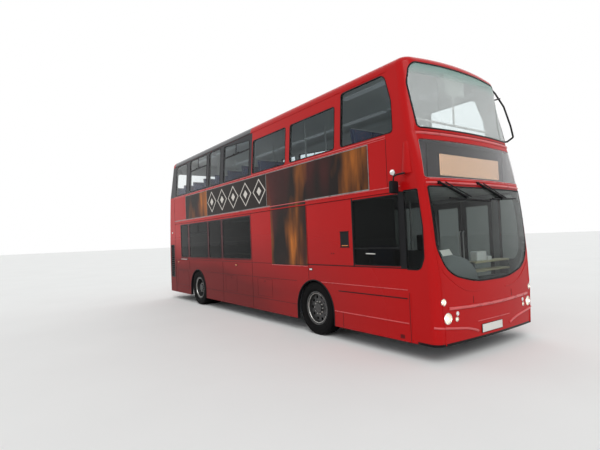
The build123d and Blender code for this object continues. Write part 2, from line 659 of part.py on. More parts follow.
# Underframe: rails, posts between the two levels, cross members, towing eyes and jacking pads
low_top = FLOOR_Z - FLOOR_THICK - FIT
high_top = HIGH_FLOOR_Z - FLOOR_THICK - FIT
rail_in, rail_out = RAIL_Y - RAIL_HALF, RAIL_Y + RAIL_HALF
post_x1 = STEP_X - FLOOR_THICK
low_rail = box(post_x1 + FIT, RAIL_FRONT_X, rail_in, rail_out, SKIRT_Z, low_top)
pad_x0, pad_x1 = JACK_PAD_X - JACK_PAD_HALF, JACK_PAD_X + JACK_PAD_HALF
pad = box(pad_x0, pad_x1, rail_in, rail_out, SKIRT_Z - JACK_PAD_THICK, SKIRT_Z)
post = box(post_x1 - POST_LENGTH, post_x1, rail_in, rail_out, SKIRT_Z, high_top)
high_rail = box(RAIL_REAR_X, post_x1 - POST_LENGTH - FIT, rail_in, rail_out, HIGH_RAIL_Z, high_top)
eye_x = RAIL_FRONT_X + FIT
eye = box(eye_x, eye_x + EYE_LENGTH, RAIL_Y - EYE_SIDE, RAIL_Y + EYE_SIDE, SKIRT_Z, low_top)
eye = eye - tube(eye_x + EYE_LENGTH / 2, RAIL_Y, SKIRT_Z, 2 * PAST, EYE_RADIUS)
for piece in (low_rail + pad, post, high_rail, eye):
    keep("chassis_frame", *both_sides(piece))
for places, z0, z1 in ((LOW_MEMBERS_X, SKIRT_Z, low_top), (HIGH_MEMBERS_X, HIGH_RAIL_Z, high_top)):
    for x in places:
        keep("chassis_frame", box(x - MEMBER_HALF, x + MEMBER_HALF, -rail_in + FIT, rail_in - FIT, z0, z1))
engine_rear, engine_front, engine_half, engine_top = ENGINE
engine = box(engine_rear, engine_front, -engine_half, engine_half, high_top + 2 * FIT, engine_top)
keep("engine_block", chamfer(engine.edges(), ENGINE_EDGE))

# Front axle beam with its fists
beam = box(-BEAM_HALF, BEAM_HALF, -BEAM_LEG_Y[1], BEAM_LEG_Y[1], BEAM_TOP_Z - BEAM_DEPTH, BEAM_TOP_Z)
leg = box(-45, 45, *BEAM_LEG_Y, BEAM_TOP_Z - BEAM_DEPTH, WHEEL_RADIUS + EYE_HALF)
arm = box(-45, 45, BEAM_LEG_Y[0] + 10, KINGPIN_Y, WHEEL_RADIUS - EYE_HALF, WHEEL_RADIUS + EYE_HALF)
fist = tube(0, KINGPIN_Y, WHEEL_RADIUS, 2 * EYE_HALF, FIST_RADIUS)
spring_pad = box(-80, 80, RAIL_Y - 60, RAIL_Y + 60, BEAM_TOP_Z - 10, SKIRT_Z - FIT)
pin_bore = tube(0, KINGPIN_Y, WHEEL_RADIUS, 4 * EYE_HALF, KINGPIN_RADIUS + RUNNING)
half_beam = leg + arm + fist + spring_pad - pin_bore
keep("front_axle", Pos(FRONT_AXLE_X, 0, 0) * (beam + both_sides(half_beam)))

# Knuckle: two lugs, the kingpin, a back plate, a stub and a steering arm
lug_span = EYE_HALF + LUG_GAP
knuckle = tube(0, KINGPIN_Y, WHEEL_RADIUS, 2 * (lug_span + LUG_THICK), KINGPIN_RADIUS)
low_lug_z = WHEEL_RADIUS - lug_span - LUG_THICK
plate_in, plate_out = KNUCKLE_PLATE
for z0 in (WHEEL_RADIUS + lug_span, low_lug_z):
    knuckle = knuckle + tube(0, KINGPIN_Y, z0 + LUG_THICK / 2, LUG_THICK, FIST_RADIUS)
    knuckle = knuckle + box(-FIST_RADIUS, FIST_RADIUS, KINGPIN_Y, KINGPIN_Y + plate_out, z0, z0 + LUG_THICK)
knuckle = knuckle + box(-FIST_RADIUS, FIST_RADIUS, KINGPIN_Y + plate_in, KINGPIN_Y + plate_out,
                        low_lug_z, WHEEL_RADIUS + lug_span + LUG_THICK)
knuckle = knuckle + Pos(0, 0, WHEEL_RADIUS) * rod_y(STUB_RADIUS, KINGPIN_Y + plate_in + 15, STUB_END_Y)
arm_z = TIE_ROD_Z + TIE_ROD_RADIUS + 2
arm_y = (KINGPIN_Y - STEER_ARM_HALF, KINGPIN_Y + STEER_ARM_HALF)
drop_half = FIST_RADIUS - 10
knuckle = knuckle + box(-drop_half, drop_half, *arm_y, arm_z, low_lug_z + 5)
knuckle = knuckle + box(-STEER_ARM - 20, drop_half, *arm_y, arm_z, arm_z + STEER_ARM_THICK)
ball_pin = tube(-STEER_ARM, KINGPIN_Y, TIE_ROD_Z + 5, 2 * TIE_ROD_RADIUS + 20, BALL_PIN_RADIUS)
knuckle = Pos(FRONT_AXLE_X, 0, 0) * (knuckle + ball_pin)
keep("knuckle_left", knuckle)
keep("knuckle_right", opposite(knuckle))

# Tie rod
tie_end = KINGPIN_Y - 15
tie = Pos(-STEER_ARM, 0, TIE_ROD_Z) * rod_y(TIE_ROD_RADIUS, -tie_end, tie_end)
tie = tie + both_sides(tube(-STEER_ARM, KINGPIN_Y, TIE_ROD_Z, 2 * TIE_ROD_RADIUS + 3, TIE_END_RADIUS))
tie = tie - both_sides(tube(-STEER_ARM, KINGPIN_Y, TIE_ROD_Z, PAST, BALL_PIN_RADIUS + RUNNING))
keep("tie_rod", Pos(FRONT_AXLE_X, 0, 0) * tie)

# Rear axle with its differential and spindles
casing = rod_y(CASING_RADIUS, -HUB_IN_Y + 2, HUB_IN_Y - 2)
casing = casing + Pos(*DIFFERENTIAL[:2], 0) * Sphere(DIFFERENTIAL[2])
casing = casing + both_sides(rod_y(SPINDLE_RADIUS, HUB_IN_Y - 20, SPINDLE_END_Y))
casing = Pos(REAR_AXLE_X, 0, WHEEL_RADIUS) * casing
saddle = box(REAR_AXLE_X - 80, REAR_AXLE_X + 80, RAIL_Y - 60, RAIL_Y + 60, WHEEL_RADIUS + 40, HIGH_RAIL_Z)
casing = (casing + both_sides(saddle)) & band(0, HIGH_RAIL_Z - FIT)
keep("rear_axle", casing)

# Tyre section: radius, width, corner radius
HALF_TYRE = TYRE_WIDTH / 2
TYRE_PROFILE = (
    (BEAD_RADIUS, -BEAD_HALF, 2), (BEAD_RADIUS + 18, -BEAD_HALF, 8), (BEAD_RADIUS + 62, -HALF_TYRE + 2, 40),
    (WHEEL_RADIUS - 60, -HALF_TYRE, 40), (WHEEL_RADIUS, -BEAD_HALF - 8, 22), (WHEEL_RADIUS, BEAD_HALF + 8, 22),
    (WHEEL_RADIUS - 60, HALF_TYRE, 40), (BEAD_RADIUS + 62, HALF_TYRE - 2, 40), (BEAD_RADIUS + 18, BEAD_HALF, 8),
    (BEAD_RADIUS, BEAD_HALF, 2),
)
tyre_wire = FilletPolyline(*[p[:2] for p in TYRE_PROFILE], radius=[p[2] for p in TYRE_PROFILE], close=True)
tyre = revolve(make_face(tyre_wire), axis=Axis.Y, revolution_arc=360)


def rim(disc_at):
    """Rim with flanges, and a disc at a distance outboard of the rim's middle."""
    seat = BEAD_RADIUS - FIT
    inside = seat - RIM_WALL
    flange = seat + FLANGE_RISE
    w0 = BEAD_HALF + FIT
    w1 = w0 + FLANGE_WIDTH
    wheel = ring(inside, seat, -w1, w1) + ring(inside, flange, -w1, -w0) + ring(inside, flange, w0, w1)
    disc = ring(HUB_RADIUS - 20, inside + 5, disc_at - DISC_THICK / 2, disc_at + DISC_THICK / 2)
    holes = [
        Rot(0, 360 / DISC_HOLES * n, 0) * tube(DISC_HOLE_AT, disc_at, 0, 60, DISC_HOLE_RADIUS, "Y")
        for n in range(DISC_HOLES)
    ]
    return wheel + (disc - holes)


# Wheels about their own middles: rim, hub, cap and bore
front_wheel = rim(FRONT_DISC_OUT) + rod_y(HUB_RADIUS, -80, 52) + rod_y(HUB_CAP_RADIUS, 40, 95)
front_wheel = front_wheel - rod_y(STUB_RADIUS + RUNNING, -90, STUB_END_Y - TREAD_Y + 5)
twin_wheel = rim(-TWIN_DISC_IN) + Pos(0, -TWIN_PITCH, 0) * rim(TWIN_DISC_IN)
twin_wheel = twin_wheel + rod_y(HUB_RADIUS, HUB_IN_Y + 5 - TREAD_Y, 30) + rod_y(TWIN_CAP_RADIUS, 25, 75)
twin_wheel = twin_wheel - rod_y(SPINDLE_RADIUS + RUNNING, -600, SPINDLE_END_Y - TREAD_Y + 5)
front_hub = Pos(FRONT_AXLE_X, TREAD_Y, WHEEL_RADIUS)
rear_hub = Pos(REAR_AXLE_X, TREAD_Y, WHEEL_RADIUS)
for name, shapes in (
    ("front_tyre", [front_hub * tyre]),
    ("front_rim", [front_hub * front_wheel]),
    ("rear_tyres", [rear_hub * tyre, rear_hub * Pos(0, -TWIN_PITCH, 0) * tyre]),
    ("rear_rims", [rear_hub * twin_wheel]),
):
    keep(f"{name}_left", *shapes)
    keep(f"{name}_right", *[opposite(shape) for shape in shapes])


# Seats
def seat():
    """Frame and pads of a double seat on the kerb side. X starts at the backrest's foot, Z at the floor."""
    y0, y1 = SEAT_INNER_Y, SEAT_INNER_Y + SEAT_WIDTH
    pan_top = PAN_Z + PAN_THICK
    pan = ((0, PAN_Z, 6), (SEAT_DEPTH, PAN_Z, 6), (SEAT_DEPTH, pan_top, 6), (0, pan_top, 6))
    back = (
        (0, pan_top + FIT, 6), (BACK_THICK, pan_top + FIT, 6),
        (BACK_THICK - BACK_LEAN, BACK_TOP_Z, 8), (-BACK_LEAN, BACK_TOP_Z, 8),
    )
    leg_y = y0 + LEG_IN_Y
    leg = box(150, 210, leg_y - 25, leg_y + 25, 12 + FIT, PAN_Z - FIT)
    foot = box(90, 290, leg_y - 40, leg_y + 40, FIT, 12)
    frame = [prism(pan, "Y", y0, y1), prism(back, "Y", y0, y1), leg, foot]
    lean = -BACK_LEAN / (BACK_TOP_Z - pan_top)
    base_z = pan_top + FIT
    base = (
        (40, base_z, 8), (SEAT_DEPTH - 5, base_z, 20),
        (SEAT_DEPTH, base_z + PAD_THICK, 25), (40, base_z + PAD_THICK, 20),
    )
    low, high = base_z + PAD_THICK + 6, BACK_TOP_Z - 20
    low_x = BACK_THICK + 2 * FIT + lean * (low - pan_top)
    high_x = BACK_THICK + 2 * FIT + lean * (high - pan_top)
    rest = (
        (low_x, low, 12), (low_x + PAD_THICK, low, 20),
        (high_x + PAD_THICK - 15, high, 20), (high_x, high, 12),
    )
    middle = (y0 + y1) / 2
    pads = [
        prism(outline, "Y", a, b)
        for a, b in ((y0 + PAD_EDGE, middle - 6), (middle + 6, y1 - PAD_EDGE))
        for outline in (base, rest)
    ]
    return frame, pads


frame, pads = seat()
seat_models = {1: (frame, pads), -1: ([opposite(s) for s in frame], [opposite(s) for s in pads])}
seat_places = [(x, side, FLOOR_Z) for x in LOW_ROWS for side in (1, -1)]
seat_places += [(x, side, HIGH_FLOOR_Z) for x in HIGH_ROWS for side in (1, -1)]
seat_places += [
    (x, side, UPPER_FLOOR_Z) for x in UPPER_ROWS for side in (1, -1)
    if side == 1 or x - BACK_LEAN > STAIRWELL[1] or x + SEAT_DEPTH < STAIRWELL[0]
]
for x, side, floor in seat_places:
    deck = "upper" if floor == UPPER_FLOOR_Z else "lower"
    frame, pads = seat_models[side]
    keep(f"{deck}_seat_frames", *[Pos(x, 0, floor) * shape for shape in frame])
    keep(f"{deck}_seat_pads", *[Pos(x, 0, floor) * shape for shape in pads])

# Driver's cab: platform, partition, low side wall, dashboard, scuttle and steering column
cab = box(PARTITION_X, SCUTTLE[0], -floor_out, CAB_IN_Y, FLOOR_Z + FIT, CAB_FLOOR_Z)
partition_x1 = PARTITION_X + PARTITION_THICK
cab = cab + box(PARTITION_X, partition_x1, -floor_out, CAB_IN_Y, FLOOR_Z + FIT, bulkhead_top)
cab = cab + box(
    PARTITION_X, FRONT_SEAM_X - 70, CAB_IN_Y - PARTITION_THICK, CAB_IN_Y, FLOOR_Z + FIT, CAB_SCREEN_Z
)
cab = cab + prism([(FRONT_SEAM_X + x, z, r) for x, z, r in DASH], "Y", DASH_LEFT_Y, CAB_IN_Y)
scuttle_half = HALF_WIDTH - 160
cab = cab + box(SCUTTLE[0], SCUTTLE[0] + 30, -scuttle_half, scuttle_half, FLOOR_Z + FIT, SCUTTLE[2])
cab = cab + box(SCUTTLE[0], SCUTTLE[1], -scuttle_half, scuttle_half, SCUTTLE[2] - 30, SCUTTLE[2])
column = Pos(*STEERING_WHEEL) * Rot(0, -STEERING_TILT, 0)
cab = cab + column * Pos(0, 0, -20 - FIT - COLUMN_LENGTH / 2) * Cylinder(COLUMN_RADIUS, COLUMN_LENGTH)
keep("cab", cab)
wheel = Torus(STEERING_RADIUS, STEERING_TUBE) + Pos(0, 0, -5) * Cylinder(48, 30)
for turn in (90, 210, 330):
    wheel = wheel + Rot(0, 0, turn) * box(20, STEERING_RADIUS, -16, 16, -12, 0)
keep("steering_wheel", column * wheel)

# Driver's seat: shell on a pedestal, with two pads
shell = (
    (0, DRIVER_PAN_Z, 8), (460, DRIVER_PAN_Z, 8), (460, DRIVER_PAN_Z + 22, 8), (28, DRIVER_PAN_Z + 22, 8),
    (28 - DRIVER_LEAN, DRIVER_BACK_Z, 8), (-DRIVER_LEAN, DRIVER_BACK_Z, 8),
)
driver = Pos(DRIVER_X, 0, CAB_FLOOR_Z)
pedestal = box(90, 370, DRIVER_Y[0] + 110, DRIVER_Y[1] - 110, FIT, DRIVER_PAN_Z + 4)
keep("driver_seat", driver * (prism(shell, "Y", *DRIVER_Y) + pedestal))


def driver_back_x(z):
    """Front face of the driver's backrest shell at a height."""
    return 28 - DRIVER_LEAN * (z - DRIVER_PAN_Z - 22) / (DRIVER_BACK_Z - DRIVER_PAN_Z - 22) + 2 * FIT


base_z, base_top = DRIVER_PAN_Z + 22.5, DRIVER_PAN_Z + 110
base_pad = ((40, base_z, 8), (455, base_z, 25), (458, base_top, 30), (40, base_top - 10, 20))
low, high = base_top + 10, DRIVER_BACK_Z - 20
back_pad = (
    (driver_back_x(low), low, 12), (driver_back_x(low) + 90, low, 25),
    (driver_back_x(high) + 78, high, 25), (driver_back_x(high), high, 12),
)
pad_y = (DRIVER_Y[0] + PAD_EDGE, DRIVER_Y[1] - PAD_EDGE)
keep("driver_seat_pads", *[driver * prism(outline, "Y", *pad_y) for outline in (base_pad, back_pad)])


# Handrails: upright poles, a guard rail by the stairwell and a rail across the upper screen
def pole(x, y, z0, z1):
    return tube(x, y, (z0 + z1) / 2, z1 - z0, TUBE_RADIUS)


for x, y in LOWER_POLES:
    keep("handrails", pole(x, y, FLOOR_Z + FIT, bulkhead_top))
for x, y in UPPER_POLES:
    ceiling = ROOF_Z - WALL - (abs(y) + TUBE_RADIUS) ** 2 / (2 * CROWN_RADIUS) - FIT
    keep("handrails", pole(x, y, UPPER_FLOOR_Z + FIT, ceiling))
for x in GUARD_POSTS:
    keep("handrails", pole(x, GUARD_Y, UPPER_FLOOR_Z + FIT, GUARD_TOP_Z))
span = GUARD_POSTS[-1] - GUARD_POSTS[0] + 2 * TUBE_RADIUS
guard_x, guard_z = sum(GUARD_POSTS[::2]) / 2, GUARD_TOP_Z + TUBE_RADIUS + FIT
keep("handrails", tube(guard_x, GUARD_Y, guard_z, span, TUBE_RADIUS, "X"))
for x0, x1 in zip(GUARD_POSTS, GUARD_POSTS[1:]):
    span = x1 - x0 - 2 * (TUBE_RADIUS + FIT)
    keep("handrails", tube((x0 + x1) / 2, GUARD_Y, (UPPER_FLOOR_Z + GUARD_TOP_Z) / 2, span, TUBE_RADIUS, "X"))
rail_x, rail_z = FRONT_RAIL
reach = half_at(rail_z + TUBE_RADIUS) - WALL - FIT
keep("handrails", tube(rail_x, 0, rail_z, 2 * reach, TUBE_RADIUS, "Y"))

# Sign box behind the glass
sign_x0, sign_x1, sign_half, sign_top = SIGN_BOX
keep("sign_box", box(sign_x0, sign_x1, -sign_half, sign_half, UPPER_FLOOR_Z + FIT, sign_top))

# Mirrors: a fairing on the corner panel, an arm and a head
arm_points = [(FRONT_SEAM_X + x, HALF_WIDTH + y, z) for x, y, z in MIRROR_ARM]
arm_line = FilletPolyline(*arm_points, radius=30)
mirror_arm = sweep(arm_line.location_at(0) * Circle(MIRROR_TUBE), path=arm_line)
head = fillet(box(*MIRROR_HEAD).edges(), MIRROR_EDGE)
fairing = loft([
    Pos(FRONT_SEAM_X + x, HALF_WIDTH, z) * Ellipse(half_length, bulge)
    for x, z, half_length, bulge in FAIRING
])
mirror_whole = (fairing + mirror_arm + head) - nose_clear
keep("mirrors", *both_sides(mirror_whole))

# Branch guard on the kerb side
hoop_points = [(FRONT_SEAM_X + x, HALF_WIDTH + y, z) for x, y, z, r in BRANCH_GUARD]
hoop_line = FilletPolyline(*hoop_points, radius=[row[3] for row in BRANCH_GUARD[1:-1]])
hoop = sweep(hoop_line.location_at(0) * Circle(GUARD_TUBE), path=hoop_line) - nose_clear
keep("branch_guard", max(hoop.solids(), key=lambda solid: solid.volume))


# Wipers
def nose_point(y, z, off):
    """A point off the face of the nose at a place across and a height."""
    for low, high in zip(NOSE_LOWER, NOSE_LOWER[1:]):
        if z <= high[0]:
            break
    t = (z - low[0]) / (high[0] - low[0])
    reach = low[1] + t * (high[1] - low[1])
    bow = low[2] + t * (high[2] - low[2])
    return Vector(FRONT_SEAM_X + reach - bow * (y / HALF_WIDTH) ** 2 + off, y, z)


def bar(start, end, width, height):
    """A square bar from one point to another."""
    axis = end - start
    return Plane(origin=start, z_dir=axis) * Pos(0, 0, axis.length / 2) * Box(width, height, axis.length)


for pivot, tip, heel, toe in WIPERS:
    boss = Pos(nose_point(*pivot, 14)) * Rot(0, 90, 0) * Cylinder(WIPER_BOSS_RADIUS, WIPER_BOSS_LENGTH)
    arm = bar(nose_point(*pivot, 26), nose_point(*tip, 26), *WIPER_ARM)
    blade = bar(nose_point(*heel, 22), nose_point(*toe, 22), *WIPER_BLADE)
    link = Pos(nose_point(*tip, 26)) * Box(*WIPER_LINK)
    keep("wipers", boss + arm + blade + link - nose_clear)

for name, solids in NODES.items():
    export_step(Compound(children=solids) if len(solids) > 1 else solids[0], f"parts/{name}.step")
    print(name, len(solids), round(sum(solid.volume for solid in solids) / 1e9, 5))
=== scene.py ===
"""Two-door double decker bus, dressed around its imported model. Metres, +X forward, +Y kerb side, +Z up."""
import math
import bpy
from mathutils import Matrix, Vector


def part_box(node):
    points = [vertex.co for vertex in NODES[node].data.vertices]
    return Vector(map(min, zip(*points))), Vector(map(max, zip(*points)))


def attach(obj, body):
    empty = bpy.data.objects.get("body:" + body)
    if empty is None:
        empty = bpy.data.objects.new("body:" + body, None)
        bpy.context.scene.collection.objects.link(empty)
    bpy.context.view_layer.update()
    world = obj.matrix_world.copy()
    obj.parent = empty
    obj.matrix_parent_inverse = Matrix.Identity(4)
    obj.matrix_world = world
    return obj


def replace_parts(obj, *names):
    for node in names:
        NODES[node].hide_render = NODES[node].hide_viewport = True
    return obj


bl_info = {
    "name": "Double decker bus",
    "version": (1, 0, 0),
    "blender": (4, 5, 0),
    "location": "3D View > Sidebar > Bus",
    "description": "Dresses a two-door double decker bus around its packed solids",
    "category": "Object",
}

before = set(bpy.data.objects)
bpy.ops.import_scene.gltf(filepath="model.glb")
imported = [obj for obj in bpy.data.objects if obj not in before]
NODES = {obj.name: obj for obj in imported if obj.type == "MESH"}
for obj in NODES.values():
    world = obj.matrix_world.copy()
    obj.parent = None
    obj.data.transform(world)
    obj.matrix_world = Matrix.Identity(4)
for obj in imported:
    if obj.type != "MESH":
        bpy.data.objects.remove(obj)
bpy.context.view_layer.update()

# Sides of the bus: word and sign of Y
SIDES = (("left", 1), ("right", -1))

# Body lines that the pieces follow
HALF = 1.26
WAIST_Z = 3.2
LEAN = 0.095 / 1.32
BODY_FOOT_Z = 0.24
# Top of the painted shade along the bumper's foot
BUMPER_SHADE_TOP_Z = 0.268
SEAM_Z = 2.42
BAND_TOP_Z = 4.19
GUTTER_Z = 4.2
FRONT_SEAM_X = 4.47
CAB_SEAM_X = 4.71
REAR_SEAM_X = -4.62
STEP_X = 0.33
FRONT_AXLE_X = 2.59
REAR_AXLE_X = -2.84
HUB_Z = 0.4785
TREAD_Y = 1.1
TWIN_PITCH = 0.31
ARCH_RADIUS = 0.54
ARCH_Z = 0.45
FRONT_ARCH = (FRONT_AXLE_X - ARCH_RADIUS, FRONT_AXLE_X + ARCH_RADIUS)
REAR_ARCH = (REAR_AXLE_X - ARCH_RADIUS, REAR_AXLE_X + ARCH_RADIUS)
FLOORS = {"low": 0.36, "high": 0.68, "upper": 2.48}
LEAVES = ("front_door_aft", "front_door_fore", "exit_door_aft", "exit_door_fore")
LINED_NODES = ("side_lower_left", "side_lower_right", "side_upper_left", "side_upper_right", "roof",
               "front_upper_panel", "front_lower_panel", "rear_upper_panel", "rear_lower_panel")

# Where finishes change: front ends of the window reveals, upper and lower; depth of a wall's skin; heights
# between which the glass's tint changes; the small pane's rear edge
REVEAL_ENDS = (4.4, 4.79)
SKIN = 0.012
GLASS_STEP = (2.40, 2.45)
CORNER_PANE_X = 4.76

# Joints of the roof's panels
ROOF_SEAMS = (-4.62, -3.2, -1.9, -0.6, 0.7, 2.0, 3.3, 4.47)

# Hopper vents: rear edge, front edge, bar height, top
HOPPERS = ((-1.05, 0.30, 3.84, 4.12), (-3.33, -2.10, 3.86, 4.17), (-3.40, -2.10, 2.02, 2.31))

# Dark joints of both sides and of each, along them: X, X, Z, radius; then upright: X, Z, Z
JOINTS = {
    "both": ((REAR_SEAM_X, STEP_X, 1.262, 0.004), (REAR_ARCH[1], STEP_X, 0.95, 0.003),
             (REAR_ARCH[1], STEP_X, 0.50, 0.003), (REAR_SEAM_X, REAR_ARCH[0], 0.95, 0.003),
             (REAR_SEAM_X, REAR_ARCH[0], 0.50, 0.003)),
    "left": ((1.59, 3.37, 1.262, 0.004), (1.59, FRONT_ARCH[0], 0.50, 0.003),
             (REAR_SEAM_X, 4.70, 2.366, 0.004)),
    "right": ((STEP_X, 2.40, 1.262, 0.004), (2.40, 4.74, 1.272, 0.008),
              (FRONT_ARCH[1] + 0.14, 4.75, 0.846, 0.008),
              (STEP_X, FRONT_ARCH[0], 0.95, 0.003), (STEP_X, FRONT_ARCH[0], 0.50, 0.003),
              (REAR_SEAM_X, 4.74, 2.366, 0.004)),
}
UPRIGHT_JOINTS = {
    "both": ((-4.6, 0.24, 1.25), (-3.46, 1.0, 1.25), (-1.20, 0.24, 1.25), (0.32, 0.24, 2.36),
             (REAR_SEAM_X, 0.24, 3.17), (FRONT_SEAM_X, 2.46, 3.17)),
    "left": (),
    "right": ((2.44, 1.0, 2.36), (4.785, 0.24, 0.93), (3.36, 0.24, 0.50)),
}

# Front lamps: Y, Z, radius. Their parts: depth, share of the radius and more; then steps and finish
FRONT_LAMPS = ((1.058, 0.600, 0.078), (0.880, 0.572, 0.034), (0.865, 0.647, 0.031), (1.130, 0.824, 0.048))
LAMP_PROFILES = (
    (((-0.012, 1, 0), (0.003, 1, 0), (0.006, 1, -0.004), (0.003, 1, -0.009), (-0.012, 1, -0.009)), 48,
     "chrome"),
    (((-0.012, 0.86, 0), (-0.028, 0.66, 0), (-0.042, 0.36, 0), (-0.046, 0, 0.006), (-0.050, 0, 0.006),
      (-0.046, 0.40, 0), (-0.032, 0.72, 0), (-0.014, 0.95, 0)), 40, "reflector"),
    (((-0.002, 1, -0.009), (0.003, 0.72, 0), (0.005, 0.36, 0), (0.0055, 0, 0.0015), (0.0025, 0, 0.0015),
      (0.002, 0.36, 0), (0.000, 0.72, 0), (-0.005, 1, -0.009)), 48, "lens"),
)
CORNER_LAMP = ((0.0, 0.026), (0.012, 0.024), (0.018, 0.014), (0.019, 0.002), (-0.004, 0.002),
               (-0.004, 0.024))

# Tail: lamps and their surround's outline, bead heights and reach, marker lamps' Y, Z and width
TAIL_LAMP_Y = 1.105
TAIL_LAMP_HEIGHTS = (0.88, 1.01, 1.14, 1.27)
TAIL_LAMP_RIM = ((-0.008, 0.0555), (0.004, 0.057), (0.007, 0.061), (0.004, 0.064), (-0.008, 0.0645))
TAIL_LAMP_RING = ((1.02, 0.79), (1.02, 1.36), (1.105, 1.39), (1.185, 1.36), (1.185, 0.79), (1.105, 0.76))
TAIL_BEADS = ((0.50, 1.10), (2.445, 1.10), (2.385, 1.10), (3.212, 1.08))
TAIL_MARKERS = ((0, 4.20, 0.36), (-0.95, 2.30, 0.10), (0.95, 2.30, 0.10), (-1.02, 0.70, 0.09),
                (1.02, 0.70, 0.09))

# Creases of each side of the nose: Y, Z, then radius and finish, the edge finish being a painted highlight.
# Across it, in that painted highlight: reach, Z, bow, steps, radius
NOSE_CREASES = (
    (((1.108, 0.245), (1.112, 0.42), (1.132, 0.50), (1.150, 0.72), (1.150, 0.80)), 0.009, "paint"),
    (((1.150, 0.90), (1.150, 1.125), (1.175, 1.38), (1.205, 1.80), (1.215, 2.40)), 0.009, "paint"),
    (((1.248, 0.492), (1.20, 0.486), (1.089, 0.475), (0.95, 0.457), (0.826, 0.442), (0.655, 0.418),
      (0.5, 0.38), (0.42, 0.35)), 0.016, "edge"),
    (((1.12, 1.27), (1.083, 1.213), (0.96, 1.11), (0.832, 1.025), (0.71, 0.965), (0.594, 0.93),
      (0.45, 0.915), (0.33, 0.91)), 0.007, "paint"),
)
NOSE_BANDS = ((1.03, 0.703, 0.025, 30, 0.021), (0.42, 0.484, 0, 14, 0.006), (1.20, 2.450, 0, 30, 0.015),
              (1.20, 2.500, 0, 30, 0.006), (1.19, 3.168, 0, 30, 0.020))

# Half section of a tyre about its middle: Y, radius
TYRE_HALF = (
    (0.105, 0.292), (0.107, 0.305), (0.118, 0.318), (0.130, 0.343), (0.1335, 0.348), (0.1325, 0.353),
    (0.1368, 0.375), (0.1372, 0.415), (0.1352, 0.419), (0.1352, 0.428), (0.1365, 0.432), (0.134, 0.450),
    (0.126, 0.467), (0.118, 0.4755), (0.108, 0.4783), (0.085, 0.4783), (0.083, 0.466), (0.073, 0.466),
    (0.071, 0.4783), (0.033, 0.4783), (0.031, 0.466), (0.021, 0.466), (0.019, 0.4783),
)

# Wipers: pivot, arm end and blade ends, as Y, Z
WIPERS = (((-1.0, 2.452), (-0.49, 2.25), (-0.83, 2.232), (0.11, 2.205)),
          ((-0.16, 2.462), (0.45, 2.258), (0.18, 2.24), (0.93, 2.262)))

# Kerb side mirror: its arm, and the small round mirror's profile
MIRROR_ARM = ((4.855, 1.27, 2.625), (4.83, 1.325, 2.607), (4.765, 1.375, 2.597), (4.712, 1.39, 2.575),
              (4.702, 1.392, 2.48))
SMALL_MIRROR = ((0.0, 0.043), (0.016, 0.040), (0.023, 0.026), (0.025, 0.002), (-0.010, 0.002),
                (-0.010, 0.038))

# Ceiling lights: X of each, then Y, half width, low and high Z, and edge
CEILING_LIGHTS = (((-4.1, -2.7, -1.3, 0.1, 1.5, 2.9), 0.62, 0.07, 4.298, 4.325, 0.01),
                  ((-3.9, -2.5, -1.1, 0.3, 1.7), 0.45, 0.06, 2.376, 2.399, 0.008))

# Blocks of the cab: name, low corner, high corner, edge, finish
CAB_BLOCKS = (
    ("binnacle", (4.67, -0.86, 1.05), (4.88, -0.38, 1.15), 0.03, "cab"),
    ("fare_box", (4.12, -0.24, 1.48), (4.36, -0.06, 1.74), 0.02, "trim"),
    ("fare_face", (4.15, -0.062, 1.53), (4.33, -0.052, 1.70), 0.004, "cab"),
    ("shelf", (4.78, 0.10, 1.255), (4.97, 1.10, 1.285), 0.008, "cream"),
    ("shelf", (4.78, 0.10, 1.115), (4.97, 1.10, 1.145), 0.008, "cream"),
    ("shelf", (4.78, 0.10, 0.995), (4.97, 1.10, 1.025), 0.008, "cab"),
    ("shelf_end", (4.80, 0.10, 0.75), (4.95, 0.12, 1.28), 0.005, "cab"),
    ("shelf_end", (4.80, 1.08, 0.75), (4.95, 1.10, 1.28), 0.005, "cab"),
    ("machine", (4.83, 0.17, 1.285), (4.96, 0.44, 1.44), 0.02, "white_box"),
    ("machine", (4.83, 0.47, 1.285), (4.95, 0.60, 1.35), 0.015, "white_box"),
)

# Outline of the cowl behind the windscreen: Y, Z
COWL = ((-1.12, 1.00), (-1.12, 1.36), (-1.02, 1.44), (-0.67, 1.435), (-0.43, 1.40), (-0.27, 1.35),
        (-0.14, 1.26), (-0.05, 1.16), (0.02, 1.00))

# Seat rows: rear face of each row. Then the stairwell's X, and the sizes of a double seat
LOW_ROWS = (-0.32, -1.08, -1.84)
HIGH_ROWS = (-2.56, -3.31, -4.04)
UPPER_ROWS = (3.70, 2.94, 2.18, 1.42, 0.66, -0.10, -0.86, -1.62, -2.38, -3.14, -3.90, -4.56)
STAIRWELL = (1.50, 3.00)
SEAT_IN_Y = 0.315
SEAT_WIDTH = 0.85
SEAT_DEPTH = 0.445
BACK_LEAN = 0.09

# Grip on a seat's back: how far behind, then its hoop's Y, Z
GRIP_BACK = 0.085
GRIP_HOOP = ((0.36, 1.015), (0.36, 1.065), (1.12, 1.065), (1.12, 1.015))

# Photograph's camera: place, then heading, pitch and roll in degrees, and lens in millimetres
CAMERA_AT = (8.822, -5.998, 1.749)
CAMERA_TURN = (144.32, 1.85, -2.29)
CAMERA_LENS = 25.71


def tone(red, green, blue):
    """A linear colour from its display values, 0 to 255."""
    return tuple(((v / 255 + 0.055) / 1.055) ** 2.4 if v > 10 else v / 255 / 12.92
                 for v in (red, green, blue))


def side_y(z):
    """Half width of the body at a height."""
    return HALF - max(0.0, z - WAIST_Z) * LEAN


def spread(first, last, steps):
    """Even values from the first to the last."""
    return [first + (last - first) * n / steps for n in range(steps + 1)]


def colour_setting(name, description, default):
    return bpy.props.FloatVectorProperty(name=name, description=description, default=default,
                                         subtype="COLOR", size=3, min=0, max=1)


def length_setting(name, description, default, low, high):
    return bpy.props.FloatProperty(name=name, description=description, default=default, unit="LENGTH",
                                   min=low, max=high)


